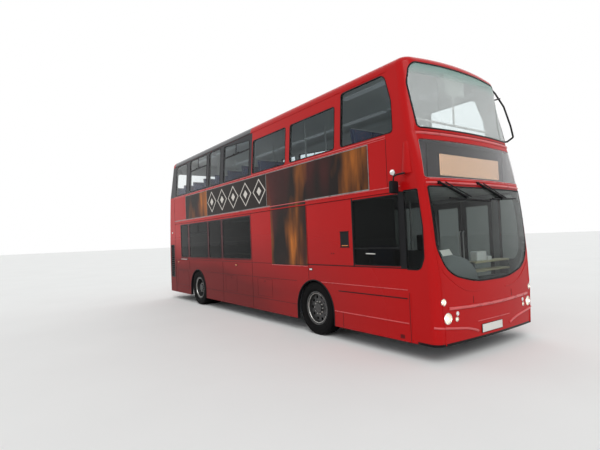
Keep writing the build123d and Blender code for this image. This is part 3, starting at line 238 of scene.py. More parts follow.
class BusSettings(bpy.types.PropertyGroup):
    """Sizes and colours of the bus that can be changed."""
    paint: colour_setting("Coach paint", "Red of the body", (0.47, 0.0052, 0.0060))
    # Pale red that paints the highlight on mouldings and creases
    moulding_highlight_paint: colour_setting("Edge paint", "Pale red of mouldings and creases, a painted highlight", tone(226, 88, 90))
    band: colour_setting("Window band", "Dark band between the rear upper windows", tone(38, 38, 42))
    lower_glass: colour_setting("Lower glass", "Tint of the lower deck's side glass", (0.11, 0.125, 0.12))
    upper_glass: colour_setting("Upper glass", "Tint of the upper deck's side glass", (0.62, 0.68, 0.70))
    screen_glass: colour_setting("Screen glass", "Tint of the windscreens", (0.72, 0.76, 0.75))
    rubber: colour_setting("Rubber", "Black of seals and trim", tone(24, 24, 26))
    cloth: colour_setting("Seat cloth", "Ground colour of the seat cloth", tone(46, 62, 112))
    print_dark: colour_setting("Poster ground", "Dark colour of the side posters", tone(32, 19, 15))
    print_warm: colour_setting("Poster patches", "Warm colour of the side posters", tone(196, 112, 38))
    seal_width: length_setting("Seal width", "Width of the rubber round a window", 0.016, 0.01, 0.05)
    screen_seal_width: length_setting("Screen seal width", "Width of the rubber round a screen", 0.022,
                                      0.01, 0.05)
    seal_rise: length_setting("Seal rise", "Thickness of the rubber round a window", 0.006, 0.003, 0.02)
    moulding: length_setting("Moulding", "Radius of the half-round body mouldings", 0.009, 0.003, 0.02)
    lamp_glow: bpy.props.FloatProperty(
        name="Lamp glow", description="Strength of the lit front lamps", default=6.0, min=0.0, max=30.0)


# Modelling by operators

def rest():
    """Leaves edit mode and selects nothing."""
    active = bpy.context.view_layer.objects.active
    if active is not None and active.mode != "OBJECT":
        bpy.ops.object.mode_set(mode="OBJECT")
    bpy.ops.object.select_all(action="DESELECT")


def pick(*objs):
    rest()
    for obj in objs:
        obj.select_set(True)
    bpy.context.view_layer.objects.active = objs[0]


def begin(kind, name, **size):
    """Adds a primitive."""
    rest()
    getattr(bpy.ops.mesh, f"primitive_{kind}_add")(**size)
    bpy.context.object.name = name
    return bpy.context.object


def edit(obj):
    """Opens an object in edit mode with everything selected."""
    pick(obj)
    bpy.ops.object.mode_set(mode="EDIT")
    bpy.ops.mesh.select_mode(type="FACE")
    bpy.ops.mesh.select_all(action="SELECT")


def edit_faces(obj, wanted):
    """Opens an object in edit mode with the wanted faces selected."""
    edit(obj)
    bpy.ops.mesh.select_all(action="DESELECT")
    bpy.ops.object.mode_set(mode="OBJECT")
    for face in obj.data.polygons:
        face.select = bool(wanted(face))
    bpy.ops.object.mode_set(mode="EDIT")


def done(obj):
    """Closes edit mode and puts the object's place in its mesh."""
    pick(obj)
    bpy.ops.object.transform_apply(location=True, rotation=True, scale=True)
    return obj


def modify(obj, kind, **settings):
    """Adds a modifier and applies it."""
    pick(obj)
    modifier = obj.modifiers.new(kind.title(), kind)
    for key, value in settings.items():
        setattr(modifier, key, value)
    bpy.ops.object.modifier_apply(modifier=modifier.name)
    return obj


def soften(obj, width=0.002, segments=2):
    return modify(obj, "BEVEL", width=width, segments=segments, limit_method="ANGLE", harden_normals=False)


def smooth(obj, angle=40):
    pick(obj)
    bpy.ops.object.shade_smooth_by_angle(angle=math.radians(angle))
    return obj


def join(name, pieces):
    """Several objects as one."""
    pick(*pieces)
    if len(pieces) > 1:
        bpy.ops.object.join()
    bpy.context.object.name = name
    return bpy.context.object


def block(name, low, high, edge=0.002):
    """A box between two corners with softened edges."""
    low, high = (Vector([limit(both) for both in zip(low, high)]) for limit in (min, max))
    obj = begin("cube", name, size=1, location=(low + high) / 2, scale=high - low)
    return soften(done(obj), edge) if edge else done(obj)


def bar(name, start, end, width, depth, edge=0.002, out=(0, 1, 0)):
    """A rectangular bar from point to point. Its depth runs in the given direction."""
    start, end = Vector(start), Vector(end)
    along = (end - start).normalized()
    across = Vector(out).cross(along).normalized()
    turn = Matrix((across, along.cross(across), along)).transposed()
    size = (width, depth, (end - start).length)
    obj = begin("cube", name, size=1, location=(start + end) / 2, rotation=turn.to_euler(), scale=size)
    return soften(done(obj), edge)


def slab(name, outline, move):
    """A flat outline given thickness by an extrusion."""
    obj = path(name, outline, close=True)
    edit(obj)
    bpy.ops.mesh.select_mode(type="VERT")
    bpy.ops.mesh.select_all(action="SELECT")
    bpy.ops.mesh.edge_face_add()
    bpy.ops.mesh.extrude_region_move(TRANSFORM_OT_translate={"value": move})
    bpy.ops.mesh.select_all(action="SELECT")
    bpy.ops.mesh.normals_make_consistent(inside=False)
    return done(obj)


def path(name, points, close=False):
    """A line of edges, drawn by extruding one vertex from point to point."""
    obj = begin("plane", name, size=0.01, location=points[0])
    edit(obj)
    bpy.ops.mesh.merge(type="CENTER")
    bpy.ops.mesh.select_mode(type="VERT")
    bpy.ops.mesh.select_all(action="SELECT")
    for here, there in zip(points, points[1:]):
        bpy.ops.mesh.extrude_region_move(TRANSFORM_OT_translate={"value": Vector(there) - Vector(here)})
    if close:
        bpy.ops.mesh.select_all(action="SELECT")
        bpy.ops.mesh.edge_face_add()
        if len(points) > 2:
            bpy.ops.mesh.delete(type="ONLY_FACE")
    return done(obj)


def tube(name, points, radius, close=False, round_steps=2):
    """A round bar along points."""
    obj = path(name, points, close)
    pick(obj)
    bpy.ops.object.convert(target="CURVE")
    obj.data.bevel_depth = radius
    obj.data.bevel_resolution = round_steps
    obj.data.use_fill_caps = True
    bpy.ops.object.convert(target="MESH")
    return smooth(done(bpy.context.object), 60)


def strip(x0, x1, z, off, width, depth=0.012, side=-1):
    """A rectangular bar along a side, off the wall's line."""
    y = side * (HALF + off)
    return bar("strip", (x0, y, z), (x1, y, z), width, depth)


def patch(name, x0, x1, z0, z1, proud, sunk, edge):
    """A thin block on the offside wall, standing proud of it and sunk into it."""
    return block(name, (x0, -HALF - proud, z0), (x1, -HALF + sunk, z1), edge)


def line(x0, z0, x1, z1, y, radius, round_steps=2):
    """A straight round bar at one Y."""
    return tube("line", [(x0, y, z0), (x1, y, z1)], radius, round_steps=round_steps)


def peg(radius, depth, at, vertices=20, segments=2):
    """A short round bar along Y."""
    turn = (math.radians(90), 0, 0)
    rod = begin("cylinder", "peg", vertices=vertices, radius=radius, depth=depth, location=at,
                rotation=turn)
    return soften(done(rod), 0.0015, segments)


def ball(radius, at, squash, segments=16, rings=10):
    """A squashed sphere."""
    return done(begin("uv_sphere", "ball", segments=segments, ring_count=rings, radius=radius, location=at,
                      scale=squash))


def turned(name, profile, steps=64):
    """A shape turned about the Y axis from its profile of Y and radius."""
    obj = path(name, [(0.0, y, radius) for y, radius in profile], close=True)
    edit(obj)
    bpy.ops.mesh.select_mode(type="VERT")
    bpy.ops.mesh.select_all(action="SELECT")
    bpy.ops.mesh.spin(steps=steps, angle=2 * math.pi, center=(0, 0, 0), axis=(0, 1, 0))
    bpy.ops.mesh.select_all(action="SELECT")
    bpy.ops.mesh.remove_doubles(threshold=0.0002)
    bpy.ops.mesh.normals_make_consistent(inside=False)
    return smooth(done(obj), 35)


def copy_to(model, name, matrix):
    """A copy of a model with its own mesh, placed by a matrix."""
    obj = bpy.data.objects.new(name, model.data.copy())
    bpy.context.scene.collection.objects.link(obj)
    obj.data.transform(matrix)
    if matrix.determinant() < 0:
        obj.data.flip_normals()
    return obj


def drop(obj):
    bpy.data.objects.remove(obj, do_unlink=True)


def faces_of(name, node, wanted):
    """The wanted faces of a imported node, merged, as an object of its own."""
    obj = bpy.data.objects.new(name, NODES[node].data.copy())
    bpy.context.scene.collection.objects.link(obj)
    edit(obj)
    bpy.ops.mesh.remove_doubles(threshold=0.0002)
    edit_faces(obj, lambda face: not wanted(face))
    bpy.ops.mesh.delete(type="FACE")
    bpy.ops.mesh.select_all(action="SELECT")
    bpy.ops.object.mode_set(mode="OBJECT")
    obj.data.materials.clear()
    return obj


def seal(name, node, wanted, width, rise):
    """Rubber round each pane of a node, laid on its outer face."""
    obj = faces_of(name, node, wanted)
    edit(obj)
    bpy.ops.mesh.inset(thickness=width, depth=0.0, use_boundary=True, use_even_offset=True)
    bpy.ops.mesh.delete(type="FACE")
    bpy.ops.object.mode_set(mode="OBJECT")
    modify(obj, "SOLIDIFY", thickness=rise, offset=1.0)
    return smooth(obj, 30)


def first_hit(start, ahead, names):
    """The first of the named nodes that a ray meets: point and normal."""
    best = None
    for name in names:
        if NODES[name].hide_viewport:
            continue
        hit, point, normal, _ = NODES[name].ray_cast(Vector(start), Vector(ahead))
        if hit and (best is None or (point - best[0]).dot(Vector(ahead)) < 0):
            best = (point, normal)
    if best is None:
        raise RuntimeError(f"nothing is met from {start}")
    return best


FRONT_NODES = ("front_bumper", "front_lower_panel", "front_upper_panel", "windscreens", "sign_glass",
               "front_lamps", "side_glass_left", "side_glass_right", "side_upper_left", "side_upper_right")
TAIL_NODES = ("rear_lower_panel", "rear_upper_panel", "rear_glass", "engine_door", "rear_lamps",
              "rear_grilles")


def on_front(y, z, off=0.0):
    """A point on the front of the body, with its normal."""
    point, normal = first_hit((6, y, z), (-1, 0, 0), FRONT_NODES)
    return point + normal * off, normal


def on_side(x, z):
    """A point on the offside of the body, with its normal."""
    return first_hit((x, -3, z), (0, 1, 0), ("side_lower_right", "side_upper_right", *FRONT_NODES))


def on_tail(y, z):
    return first_hit((-6, y, z), (1, 0, 0), TAIL_NODES)


def facing(point, normal):
    """Turns a model made along +Y, with its top at +Z, to look along a normal at a point."""
    ahead = Vector(normal).normalized()
    right = ahead.cross((0, 0, 1)).normalized()
    turn = Matrix((right, ahead, right.cross(ahead))).transposed().to_4x4()
    return Matrix.Translation(point) @ turn


def fitted(obj, point, normal):
    """Moves a model made at the origin to a point, looking along a normal."""
    obj.data.transform(facing(point, normal))
    return obj


def leaning(at, degrees):
    """Turns a model back about Y and moves it."""
    return Matrix.Translation(at) @ Matrix.Rotation(math.radians(degrees), 4, "Y")


# Finishes

def scaled(colour, factor):
    """A colour made darker or lighter."""
    return tuple(min(1.0, v * factor) for v in colour)


class Nodes:
    """Short calls for the nodes of a tree."""

    def __init__(self, tree):
        self.tree = tree

    def feed(self, socket, value):
        """Links a socket or sets its value."""
        if isinstance(value, bpy.types.NodeSocket):
            self.tree.links.new(value, socket)
        else:
            socket.default_value = (*value, 1.0) if socket.type == "RGBA" else value

    def node(self, kind, inputs=(), output=0, **settings):
        """Adds a node, feeds its inputs and gives one of its outputs."""
        node = self.tree.nodes.new(f"ShaderNode{kind}")
        for key, value in settings.items():
            setattr(node, key, value)
        for key, value in dict(inputs).items():
            self.feed(node.inputs[key], value)
        return node.outputs[output]

    def math(self, operation, a, b=0.0):
        return self.node("Math", {0: a, 1: b}, operation=operation)


class Finish(Nodes):
    """A material with its shader."""

    def __init__(self, name, **sockets):
        self.material = bpy.data.materials.new(name)
        self.material.use_nodes = True
        super().__init__(self.material.node_tree)
        self.shader = self.tree.nodes["Principled BSDF"]
        for key, value in sockets.items():
            self.shader.inputs[key.replace("_", " ")].default_value = value
        self.place = self.node("TexCoord", output="Object")

    def noise(self, scale, detail=3.0, stretch=(1, 1, 1), offset=(0, 0, 0)):
        at = self.place
        if stretch != (1, 1, 1):
            at = self.node("Mapping", {"Vector": at, "Scale": stretch, "Location": offset})
        return self.node("TexNoise", {"Vector": at, "Scale": scale, "Detail": detail, "Roughness": 0.55})

    def times(self, a, b):
        return self.math("MULTIPLY", a, b)

    def fade(self, value, start, end):
        """0 below the start, 1 past the end."""
        return self.node("MapRange", {"Value": value, "From Min": start, "From Max": end})

    def mix(self, factor, a, b):
        return self.node("Mix", {0: factor, 6: a, 7: b}, 2, data_type="RGBA")

    def blend(self, factor, a, b):
        return self.node("Mix", {0: factor, 2: a, 3: b}, data_type="FLOAT")

    def axis(self, letter):
        return self.node("SeparateXYZ", {0: self.place}, letter)

    def above(self, letter, level):
        return self.math("GREATER_THAN", self.axis(letter), level)

    def below(self, letter, level):
        return self.math("LESS_THAN", self.axis(letter), level)

    def within(self, letter, low, high):
        return self.times(self.above(letter, low), self.below(letter, high))

    def close(self, colour, rough, height=None, strength=0.0, depth=0.0, glow=None):
        """Feeds the shader its colour, roughness, bump and glow, and gives the material."""
        fed = {"Base Color": colour, "Roughness": rough}
        if height is not None:
            fed["Normal"] = self.node("Bump", {"Height": height, "Strength": strength, "Distance": depth})
        if glow is not None:
            fed["Emission Color"], fed["Emission Strength"] = glow
        for key, value in fed.items():
            self.feed(self.shader.inputs[key], value)
        return self.material


def speckled(name, colour, mottle=0.12, grain=60.0, rough=0.5, depth=0.0004, strength=0.25, **sockets):
    """A plain moulded or painted surface with faint mottling and a fine grain."""
    finish = Finish(name, **sockets)
    body = finish.mix(finish.noise(3.0, 4.0), scaled(colour, 1 - mottle), scaled(colour, 1 + mottle))
    wear = finish.blend(finish.noise(9.0), rough - 0.07, rough + 0.07)
    return finish.close(body, wear, finish.noise(grain, 2.0), strength, depth)


def coach_paint(name, colour, band=None, limits=None, reveals=True):
    """Gloss paint, darker low down and to the rear from road dirt and painted shade, with dark reveals and a
    dark band if given.
    """
    finish = Finish(name, Specular_IOR_Level=0.11, Coat_Weight=0.06, Coat_Roughness=0.05)
    body = finish.mix(finish.noise(0.8, 2.0), scaled(colour, 0.92), scaled(colour, 1.06))
    if band is not None:
        x0, x1, z0, z1 = limits
        body = finish.mix(finish.times(finish.within("X", x0, x1), finish.within("Z", z0, z1)), body, band)
    # Road dirt and painted shade: darker and duller paint low down and towards the rear
    low = finish.fade(finish.axis("Z"), 2.0, 0.7)
    aft = finish.fade(finish.axis("X"), 4.7, -1.2)
    patchy = finish.fade(finish.noise(1.7, 5.0, (0.5, 1.0, 1.6)), 0.25, 0.85)
    film_and_shade = finish.times(finish.times(low, finish.times(aft, 1.05)), finish.blend(patchy, 0.85, 1.05))
    film_and_shade = finish.math("MINIMUM", film_and_shade, 0.74)
    body = finish.mix(film_and_shade, body, tone(68, 42, 42))
    if reveals:
        lean = finish.math("MAXIMUM", finish.math("SUBTRACT", finish.axis("Z"), WAIST_Z), 0.0)
        depth = finish.math("ADD", finish.math("ABSOLUTE", finish.axis("Y")), finish.times(lean, LEAN))
        reach = finish.blend(finish.below("Z", SEAM_Z), *REVEAL_ENDS)
        along = finish.math("LESS_THAN", finish.math("ABSOLUTE", finish.axis("X")), reach)
        reveal = finish.times(finish.math("LESS_THAN", depth, HALF - SKIN), along)
        body = finish.mix(finish.times(reveal, finish.below("Z", BAND_TOP_Z)), body, tone(30, 30, 32))
    return finish.close(body, finish.blend(film_and_shade, 0.24, 0.8), finish.noise(5.0, 1.0), 0.05, 0.002)


def highlight_moulding_finish(name, colour):
    """Pale red paint of the raised mouldings and creases, a painted highlight, in random darker patches."""
    finish = Finish(name, Specular_IOR_Level=0.4, Coat_Weight=0.3, Coat_Roughness=0.1)
    worn = finish.fade(finish.noise(3.0, 6.0, (1.0, 1.0, 4.0)), 0.35, 0.75)
    body = finish.mix(worn, scaled(colour, 0.72), colour)
    return finish.close(body, finish.blend(worn, 0.25, 0.45), finish.noise(40.0, 2.0), 0.08, 0.0005)


def pane(name, colour, bands=(), ior=1.2, on_sides=False, painted_reflection=None):
    """Glass of a colour, with other tints above given heights, and above a height a pale, partly opaque
    layer that paints the sky's reflection.
    """
    finish = Finish(name, Transmission_Weight=1.0, IOR=ior)
    smear = finish.fade(finish.noise(2.0, 4.0), 0.3, 0.8)
    shade = finish.mix(smear, colour, scaled(colour, 0.94))
    for z0, z1, tint in bands:
        shade = finish.mix(finish.fade(finish.axis("Z"), z0, z1), shade, tint)
    if on_sides:
        # Clearer at the rear of the upper deck, grey in the small pane ahead of the cab window
        rear = finish.times(finish.fade(finish.axis("X"), -0.4, -3.4), finish.above("Z", GLASS_STEP[1]))
        corner = finish.times(finish.times(finish.above("X", CORNER_PANE_X), finish.below("Z", SEAM_Z)),
                              finish.below("Y", 0.0))
        shade = finish.mix(corner, finish.mix(rear, shade, (0.94, 0.96, 0.96)), (0.36, 0.38, 0.38))
    # Painted sky reflection: above the level less light passes and the pale tint shows
    if painted_reflection is not None:
        level, clear = painted_reflection
        finish.feed(finish.shader.inputs["Transmission Weight"],
                    finish.blend(finish.above("Z", level), 1.0, clear))
    return finish.close(shade, finish.times(smear, 0.015))


def poster(name, dark, warm, panel=None):
    """A generic poster: upright warm patches on a dark ground, and a row of pale diamonds on its panel."""
    finish = Finish(name, Specular_IOR_Level=0.15, Coat_Weight=0.05, Coat_Roughness=0.2)
    slow = finish.fade(finish.noise(1.0, 2.0, (1.5, 1.0, 0.5), (3.1, 0.0, 0.4)), 0.47, 0.66)
    streak = finish.fade(finish.noise(1.0, 4.0, (7.0, 1.0, 1.1)), 0.25, 0.7)
    ground = finish.mix(finish.fade(finish.noise(2.2, 4.0), 0.3, 0.75), scaled(dark, 0.35), dark)
    maroon = finish.fade(finish.noise(1.1, 2.0, (0.8, 1.0, 0.3), (1.0, 0.0, 2.0)), 0.5, 0.7)
    colour = finish.mix(finish.times(slow, streak), ground, warm)
    colour = finish.mix(finish.times(maroon, 0.5), colour, tone(112, 34, 34))
    if panel is not None:
        x0, x1, middle, half = panel
        inside = finish.within("X", x0, x1)
        across = finish.math("PINGPONG", finish.math("ADD", finish.axis("X"), 0.5), 0.31)
        up = finish.math("ABSOLUTE", finish.math("SUBTRACT", finish.axis("Z"), middle))
        reach = finish.math("ADD", across, up)
        edge = finish.math("ABSOLUTE", finish.math("SUBTRACT", reach, half))
        marks = finish.math("MAXIMUM", finish.math("LESS_THAN", edge, 0.018),
                            finish.math("LESS_THAN", reach, 0.10))
        colour = finish.mix(finish.times(marks, inside), finish.mix(inside, colour, ground),
                            tone(214, 208, 200))
    return finish.close(colour, finish.blend(finish.noise(14.0), 0.35, 0.5), finish.noise(4.0, 2.0), 0.06,
                        0.002)


def rubber(name, colour, rough=0.6):
    return speckled(name, colour, 0.25, 220.0, rough, 0.0003, 0.3, Specular_IOR_Level=0.14)


def tyre_rubber_and_shade(name):
    """Tyre rubber with dried dust; its black is darker than rubber, partly painted shade of the wheel
    arches.
    """
    finish = Finish(name, Specular_IOR_Level=0.1)
    dust = finish.fade(finish.noise(11.0, 6.0), 0.35, 0.8)
    body = finish.mix(dust, tone(5, 5, 6), tone(18, 17, 17))
    return finish.close(body, finish.blend(dust, 0.62, 0.9), finish.noise(150.0, 2.0), 0.3, 0.0006)


def bare_metal(name, colour, rough=0.3, metallic=1.0):
    finish = Finish(name, Metallic=metallic)
    grime = finish.fade(finish.noise(16.0, 6.0), 0.45, 0.8)
    dull = finish.blend(grime, rough, min(1.0, rough + 0.35))
    return finish.close(finish.mix(grime, colour, scaled(colour, 0.45)), dull, finish.noise(90.0), 0.12,
                        0.0004)


def moquette(name, colour):
    """Cut pile seat cloth: small two-tone checks with red flecks."""
    finish = Finish(name, Sheen_Weight=0.35, Sheen_Roughness=0.5)
    check = finish.node("TexChecker", {"Vector": finish.place, "Scale": 34.0}, "Fac")
    cells = finish.node("TexVoronoi", {"Vector": finish.place, "Scale": 24.0}, "Distance")
    pattern = finish.mix(check, colour, scaled(colour, 0.45))
    pattern = finish.mix(finish.math("LESS_THAN", cells, 0.18), pattern, tone(168, 44, 48))
    pattern = finish.mix(finish.times(finish.noise(160.0, 2.0), 0.3), pattern, tone(120, 128, 150))
    return finish.close(pattern, finish.blend(finish.noise(30.0), 0.85, 0.98), finish.noise(420.0, 2.0),
                        0.5, 0.0012)


def studded_floor(name, under_z=None):
    """Speckled safety flooring, with a pale ceiling below where its level is given."""
    finish = Finish(name)
    speck = finish.fade(finish.noise(420.0, 1.0), 0.56, 0.62)
    colour = finish.mix(speck, tone(70, 74, 84), tone(150, 154, 162))
    if under_z is not None:
        colour = finish.mix(finish.below("Z", under_z), colour, tone(200, 202, 200))
    scuff = finish.fade(finish.noise(4.0, 5.0), 0.35, 0.8)
    colour = finish.mix(finish.times(scuff, 0.3), colour, tone(60, 58, 56))
    return finish.close(colour, finish.blend(scuff, 0.5, 0.75), speck, 0.2, 0.0004)


def lit(name, colour, strength, rough=0.4):
    finish = Finish(name)
    body = finish.mix(finish.noise(30.0), colour, scaled(colour, 0.93))
    return finish.close(body, finish.blend(finish.noise(12.0), rough - 0.05, rough + 0.05),
                        glow=(colour, strength))


def sign_dots(name):
    """A blank dot sign: a grid of faintly lit amber dots on black."""
    finish = Finish(name)
    across, up = (finish.math("PINGPONG", finish.axis(letter), 0.006) for letter in "YZ")
    dot = finish.times(finish.math("GREATER_THAN", across, 0.003), finish.math("GREATER_THAN", up, 0.003))
    glow = finish.mix(dot, tone(70, 66, 64), tone(255, 204, 156))
    return finish.close(finish.mix(dot, tone(52, 50, 50), tone(236, 190, 140)), finish.blend(dot, 0.6, 0.4),
                        glow=(glow, 1.8))


FINISHES = {}


def finishes():
    """All finishes of the bus, made once."""
    if FINISHES:
        return FINISHES
    settings = bpy.context.scene.bus
    paint, black, band, upper, dark, warm = (tuple(getattr(settings, key)) for key in (
        "paint", "rubber", "band", "upper_glass", "print_dark", "print_warm"))
    lens = {"mottle": 0.1, "rough": 0.15, "depth": 0.001, "strength": 0.4, "Coat_Weight": 0.8}
    FINISHES.update({
        "paint": coach_paint("coach_paint", paint),
        # The dark strip along the bumper's foot is painted shade
        "bumper_paint_and_shade": coach_paint("bumper_paint_and_shade", paint, tone(20, 18, 20), (4.9, 5.5, 0.0, BUMPER_SHADE_TOP_Z)),
        # Grey strip along the rear roof's edge: a painted sky reflection
        "roof_paint_and_reflection": coach_paint("roof_paint_and_reflection", paint, tone(98, 98, 100), (-5.4, STEP_X, BAND_TOP_Z, 4.352),
                                  False),
        "low_side_paint": coach_paint("lower_side_paint", paint, tone(78, 32, 38),
                                      (-4.14, 0.30, 1.335, 2.335)),
        "side_paint": coach_paint("upper_side_paint", paint, band, (-4.62, 0.42, 3.215, BAND_TOP_Z)),
        "tail_paint": coach_paint("upper_tail_paint", paint, band, (-6.0, -4.6, 3.215, BAND_TOP_Z), False),
        # Pale paint of mouldings and creases: a painted highlight
        "edge": highlight_moulding_finish("pale_highlight_moulding_paint", tuple(settings.moulding_highlight_paint)),
        "side_glass": pane("side_glass", tuple(settings.lower_glass), ((*GLASS_STEP, upper),), 1.16, True),
        # The upper windscreen's pale layer is a painted sky reflection
        "screen_glass": pane("screen_glass", tuple(settings.screen_glass),
                             ((2.42, 2.50, (0.94, 0.97, 0.96)), (4.05, 4.22, (0.62, 0.84, 0.78))),
                             painted_reflection=(3.2, 0.74)),
        "sign_glass": pane("sign_glass_tint", (0.86, 0.86, 0.88), ior=1.4),
        "sign_back": speckled("sign_backing", tone(74, 72, 74), 0.1, 60.0, 0.6),
        "seal": rubber("window_rubber", black, 0.5),
        "trim": rubber("black_trim_plastic", black, 0.42),
        "tyre": tyre_rubber_and_shade("tyre_rubber_and_shade"),
        "rim": bare_metal("grey_wheel_paint", tone(74, 74, 74), 0.42, 0.5),
        "nut": bare_metal("plated_nut", tone(190, 188, 184), 0.25),
        "chrome": bare_metal("bright_metal", tone(225, 225, 222), 0.12),
        "chassis": speckled("chassis_paint", tone(40, 40, 42), 0.3, 40.0, 0.7),
        "engine": speckled("engine_paint", tone(96, 98, 96), 0.3, 30.0, 0.55),
        "axle": speckled("axle_paint", tone(48, 46, 44), 0.3, 40.0, 0.65),
        "floor": studded_floor("safety_floor"),
        "upper_floor": studded_floor("safety_floor_and_ceiling", 2.43),
        "cab": speckled("cab_plastic", tone(92, 94, 96), 0.1, 120.0, 0.55),
        "shell": speckled("seat_shell_plastic", tone(58, 66, 96), 0.1, 140.0, 0.45),
        "lining": speckled("lining_panel", tone(206, 208, 206), 0.05, 160.0, 0.5),
        "lower_lining": speckled("lower_lining_panel", tone(128, 130, 130), 0.08, 160.0, 0.5),
        "cloth": moquette("seat_moquette", tuple(settings.cloth)),
        "rail": speckled("handrail_enamel", tone(226, 226, 222), 0.03, 20.0, 0.3, Coat_Weight=0.4),
        "poster": poster("side_poster", dark, warm, (-2.05, 1.05, 2.82, 0.26)),
        "poster_leg": poster("side_poster_leg", dark, warm),
        "frame": bare_metal("poster_frame_metal", tone(150, 148, 146), 0.35),
        "lens": pane("lamp_lens", (0.97, 0.97, 0.97), ior=1.4),
        "red_lens": speckled("red_lens", tone(150, 14, 16), **lens),
        "amber_lens": speckled("amber_lens", tone(214, 120, 24), **lens),
        "white_lens": speckled("white_lens", tone(226, 228, 226), **{**lens, "mottle": 0.05}),
        "headlight": lit("lit_bulb", (1.0, 0.93, 0.80), settings.lamp_glow),
        "reflector": lit("lit_reflector", (0.66, 0.60, 0.50), 0.55, 0.2),
        "piping": speckled("seat_piping", tone(28, 30, 44), 0.1, 200.0, 0.5),
        "cowl": speckled("cowl_plastic", tone(126, 132, 132), 0.08, 120.0, 0.5),
        "cream": speckled("cream_plastic", tone(186, 178, 146), 0.06, 120.0, 0.5),
        "mirror_glass": bare_metal("mirror_glass", tone(210, 214, 216), 0.04),
        "ceiling_light": lit("ceiling_light", (0.62, 0.64, 0.66), 0.12),
        "plate": speckled("blank_plate", tone(222, 222, 216), 0.03, 40.0, 0.35, Coat_Weight=0.4),
        "dots": sign_dots("blank_sign_dots"),
        "white_box": speckled("white_box_plastic", tone(216, 218, 214), 0.05, 120.0, 0.4),
        "paper": speckled("white_paper", tone(232, 230, 224), 0.03, 90.0, 0.8),
    })
    return FINISHES


def dress(obj, finish):
    obj.data.materials.clear()
    obj.data.materials.append(finishes()[finish])
    return obj


def belong(obj, body="body"):
    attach(obj, body)
    return obj


def place(obj, finish, body="body"):
    """Gives a finished piece its material, slot and body."""
    return belong(dress(obj, finish), body)


def group(name, parts, finish, body="body"):
    """Makes one piece of several parts."""
    return place(join(name, parts), finish, body)


def pair(name, parts, finish):
    """Makes one piece of kerb side parts, and its mirror image on the offside."""
    left = join(f"{name}_left", parts)
    for obj in (left, copy_to(left, f"{name}_right", Matrix.Diagonal((1, -1, 1, 1)))):
        place(obj, finish)


# Operators, in the order of making

class BUS_OT_stage(bpy.types.Operator):
    """Floor, background, lights and the photograph's camera"""
    bl_idname = "bus.stage"
    bl_label = "Stage"

    def execute(self, context):
        floor = begin("plane", "floor", size=400, location=(0, 0, 0))
        pale = Finish("pale_floor")
        body = pale.mix(pale.noise(0.4), tone(232, 232, 230), tone(240, 240, 238))
        floor.data.materials.append(pale.close(body, pale.blend(pale.noise(3.0), 0.85, 0.95)))
        done(floor)

        world = bpy.data.worlds.new("plain_sky")
        context.scene.world = world
        world.use_nodes = True
        sky = Nodes(world.node_tree)
        sky.tree.nodes.clear()
        camera_ray, gloss, through = (
            sky.node("LightPath", output=f"Is {ray} Ray") for ray in ("Camera", "Glossy", "Transmission"))
        seen = sky.math("MAXIMUM", sky.math("MAXIMUM", camera_ray, gloss), through)
        light = sky.node("Background", {"Color": (0.96, 0.98, 1.0), "Strength": 0.62})
        view = sky.node("Background", {"Color": (1.0, 1.0, 1.0)})
        out = sky.tree.nodes.new("ShaderNodeOutputWorld")
        sky.feed(out.inputs["Surface"], sky.node("MixShader", {0: seen, 1: light, 2: view}))

        for name, direction, strength, width in (
            ("key_sun", (0.55, -0.45, 0.75), 1.25, 40.0), ("fill_sun", (-0.5, 0.7, 0.6), 0.35, 60.0),
        ):
            lamp = bpy.data.lights.new(name, "SUN")
            lamp.energy = strength
            lamp.angle = math.radians(width)
            sun = bpy.data.objects.new(name, lamp)
            context.scene.collection.objects.link(sun)
            sun.rotation_euler = Vector(direction).to_track_quat("Z", "Y").to_euler()

        heading, pitch, roll = (math.radians(v) for v in CAMERA_TURN)
        flat = math.cos(pitch)
        ahead = Vector((flat * math.cos(heading), flat * math.sin(heading), math.sin(pitch)))
        right = ahead.cross(Vector((0, 0, 1))).normalized()
        up = right.cross(ahead)
        rolled = (math.cos(roll) * right + math.sin(roll) * up, math.cos(roll) * up - math.sin(roll) * right)
        data = bpy.data.cameras.new("photo_camera")
        data.lens = CAMERA_LENS
        data.sensor_width = 36
        data.clip_end = 500
        camera = bpy.data.objects.new("photo_camera", data)
        context.scene.collection.objects.link(camera)
        turn = Matrix((*rolled, -ahead)).transposed().to_4x4()
        camera.matrix_world = Matrix.Translation(CAMERA_AT) @ turn
        context.scene.camera = camera
        context.scene.view_settings.view_transform = "Standard"
        return {"FINISHED"}


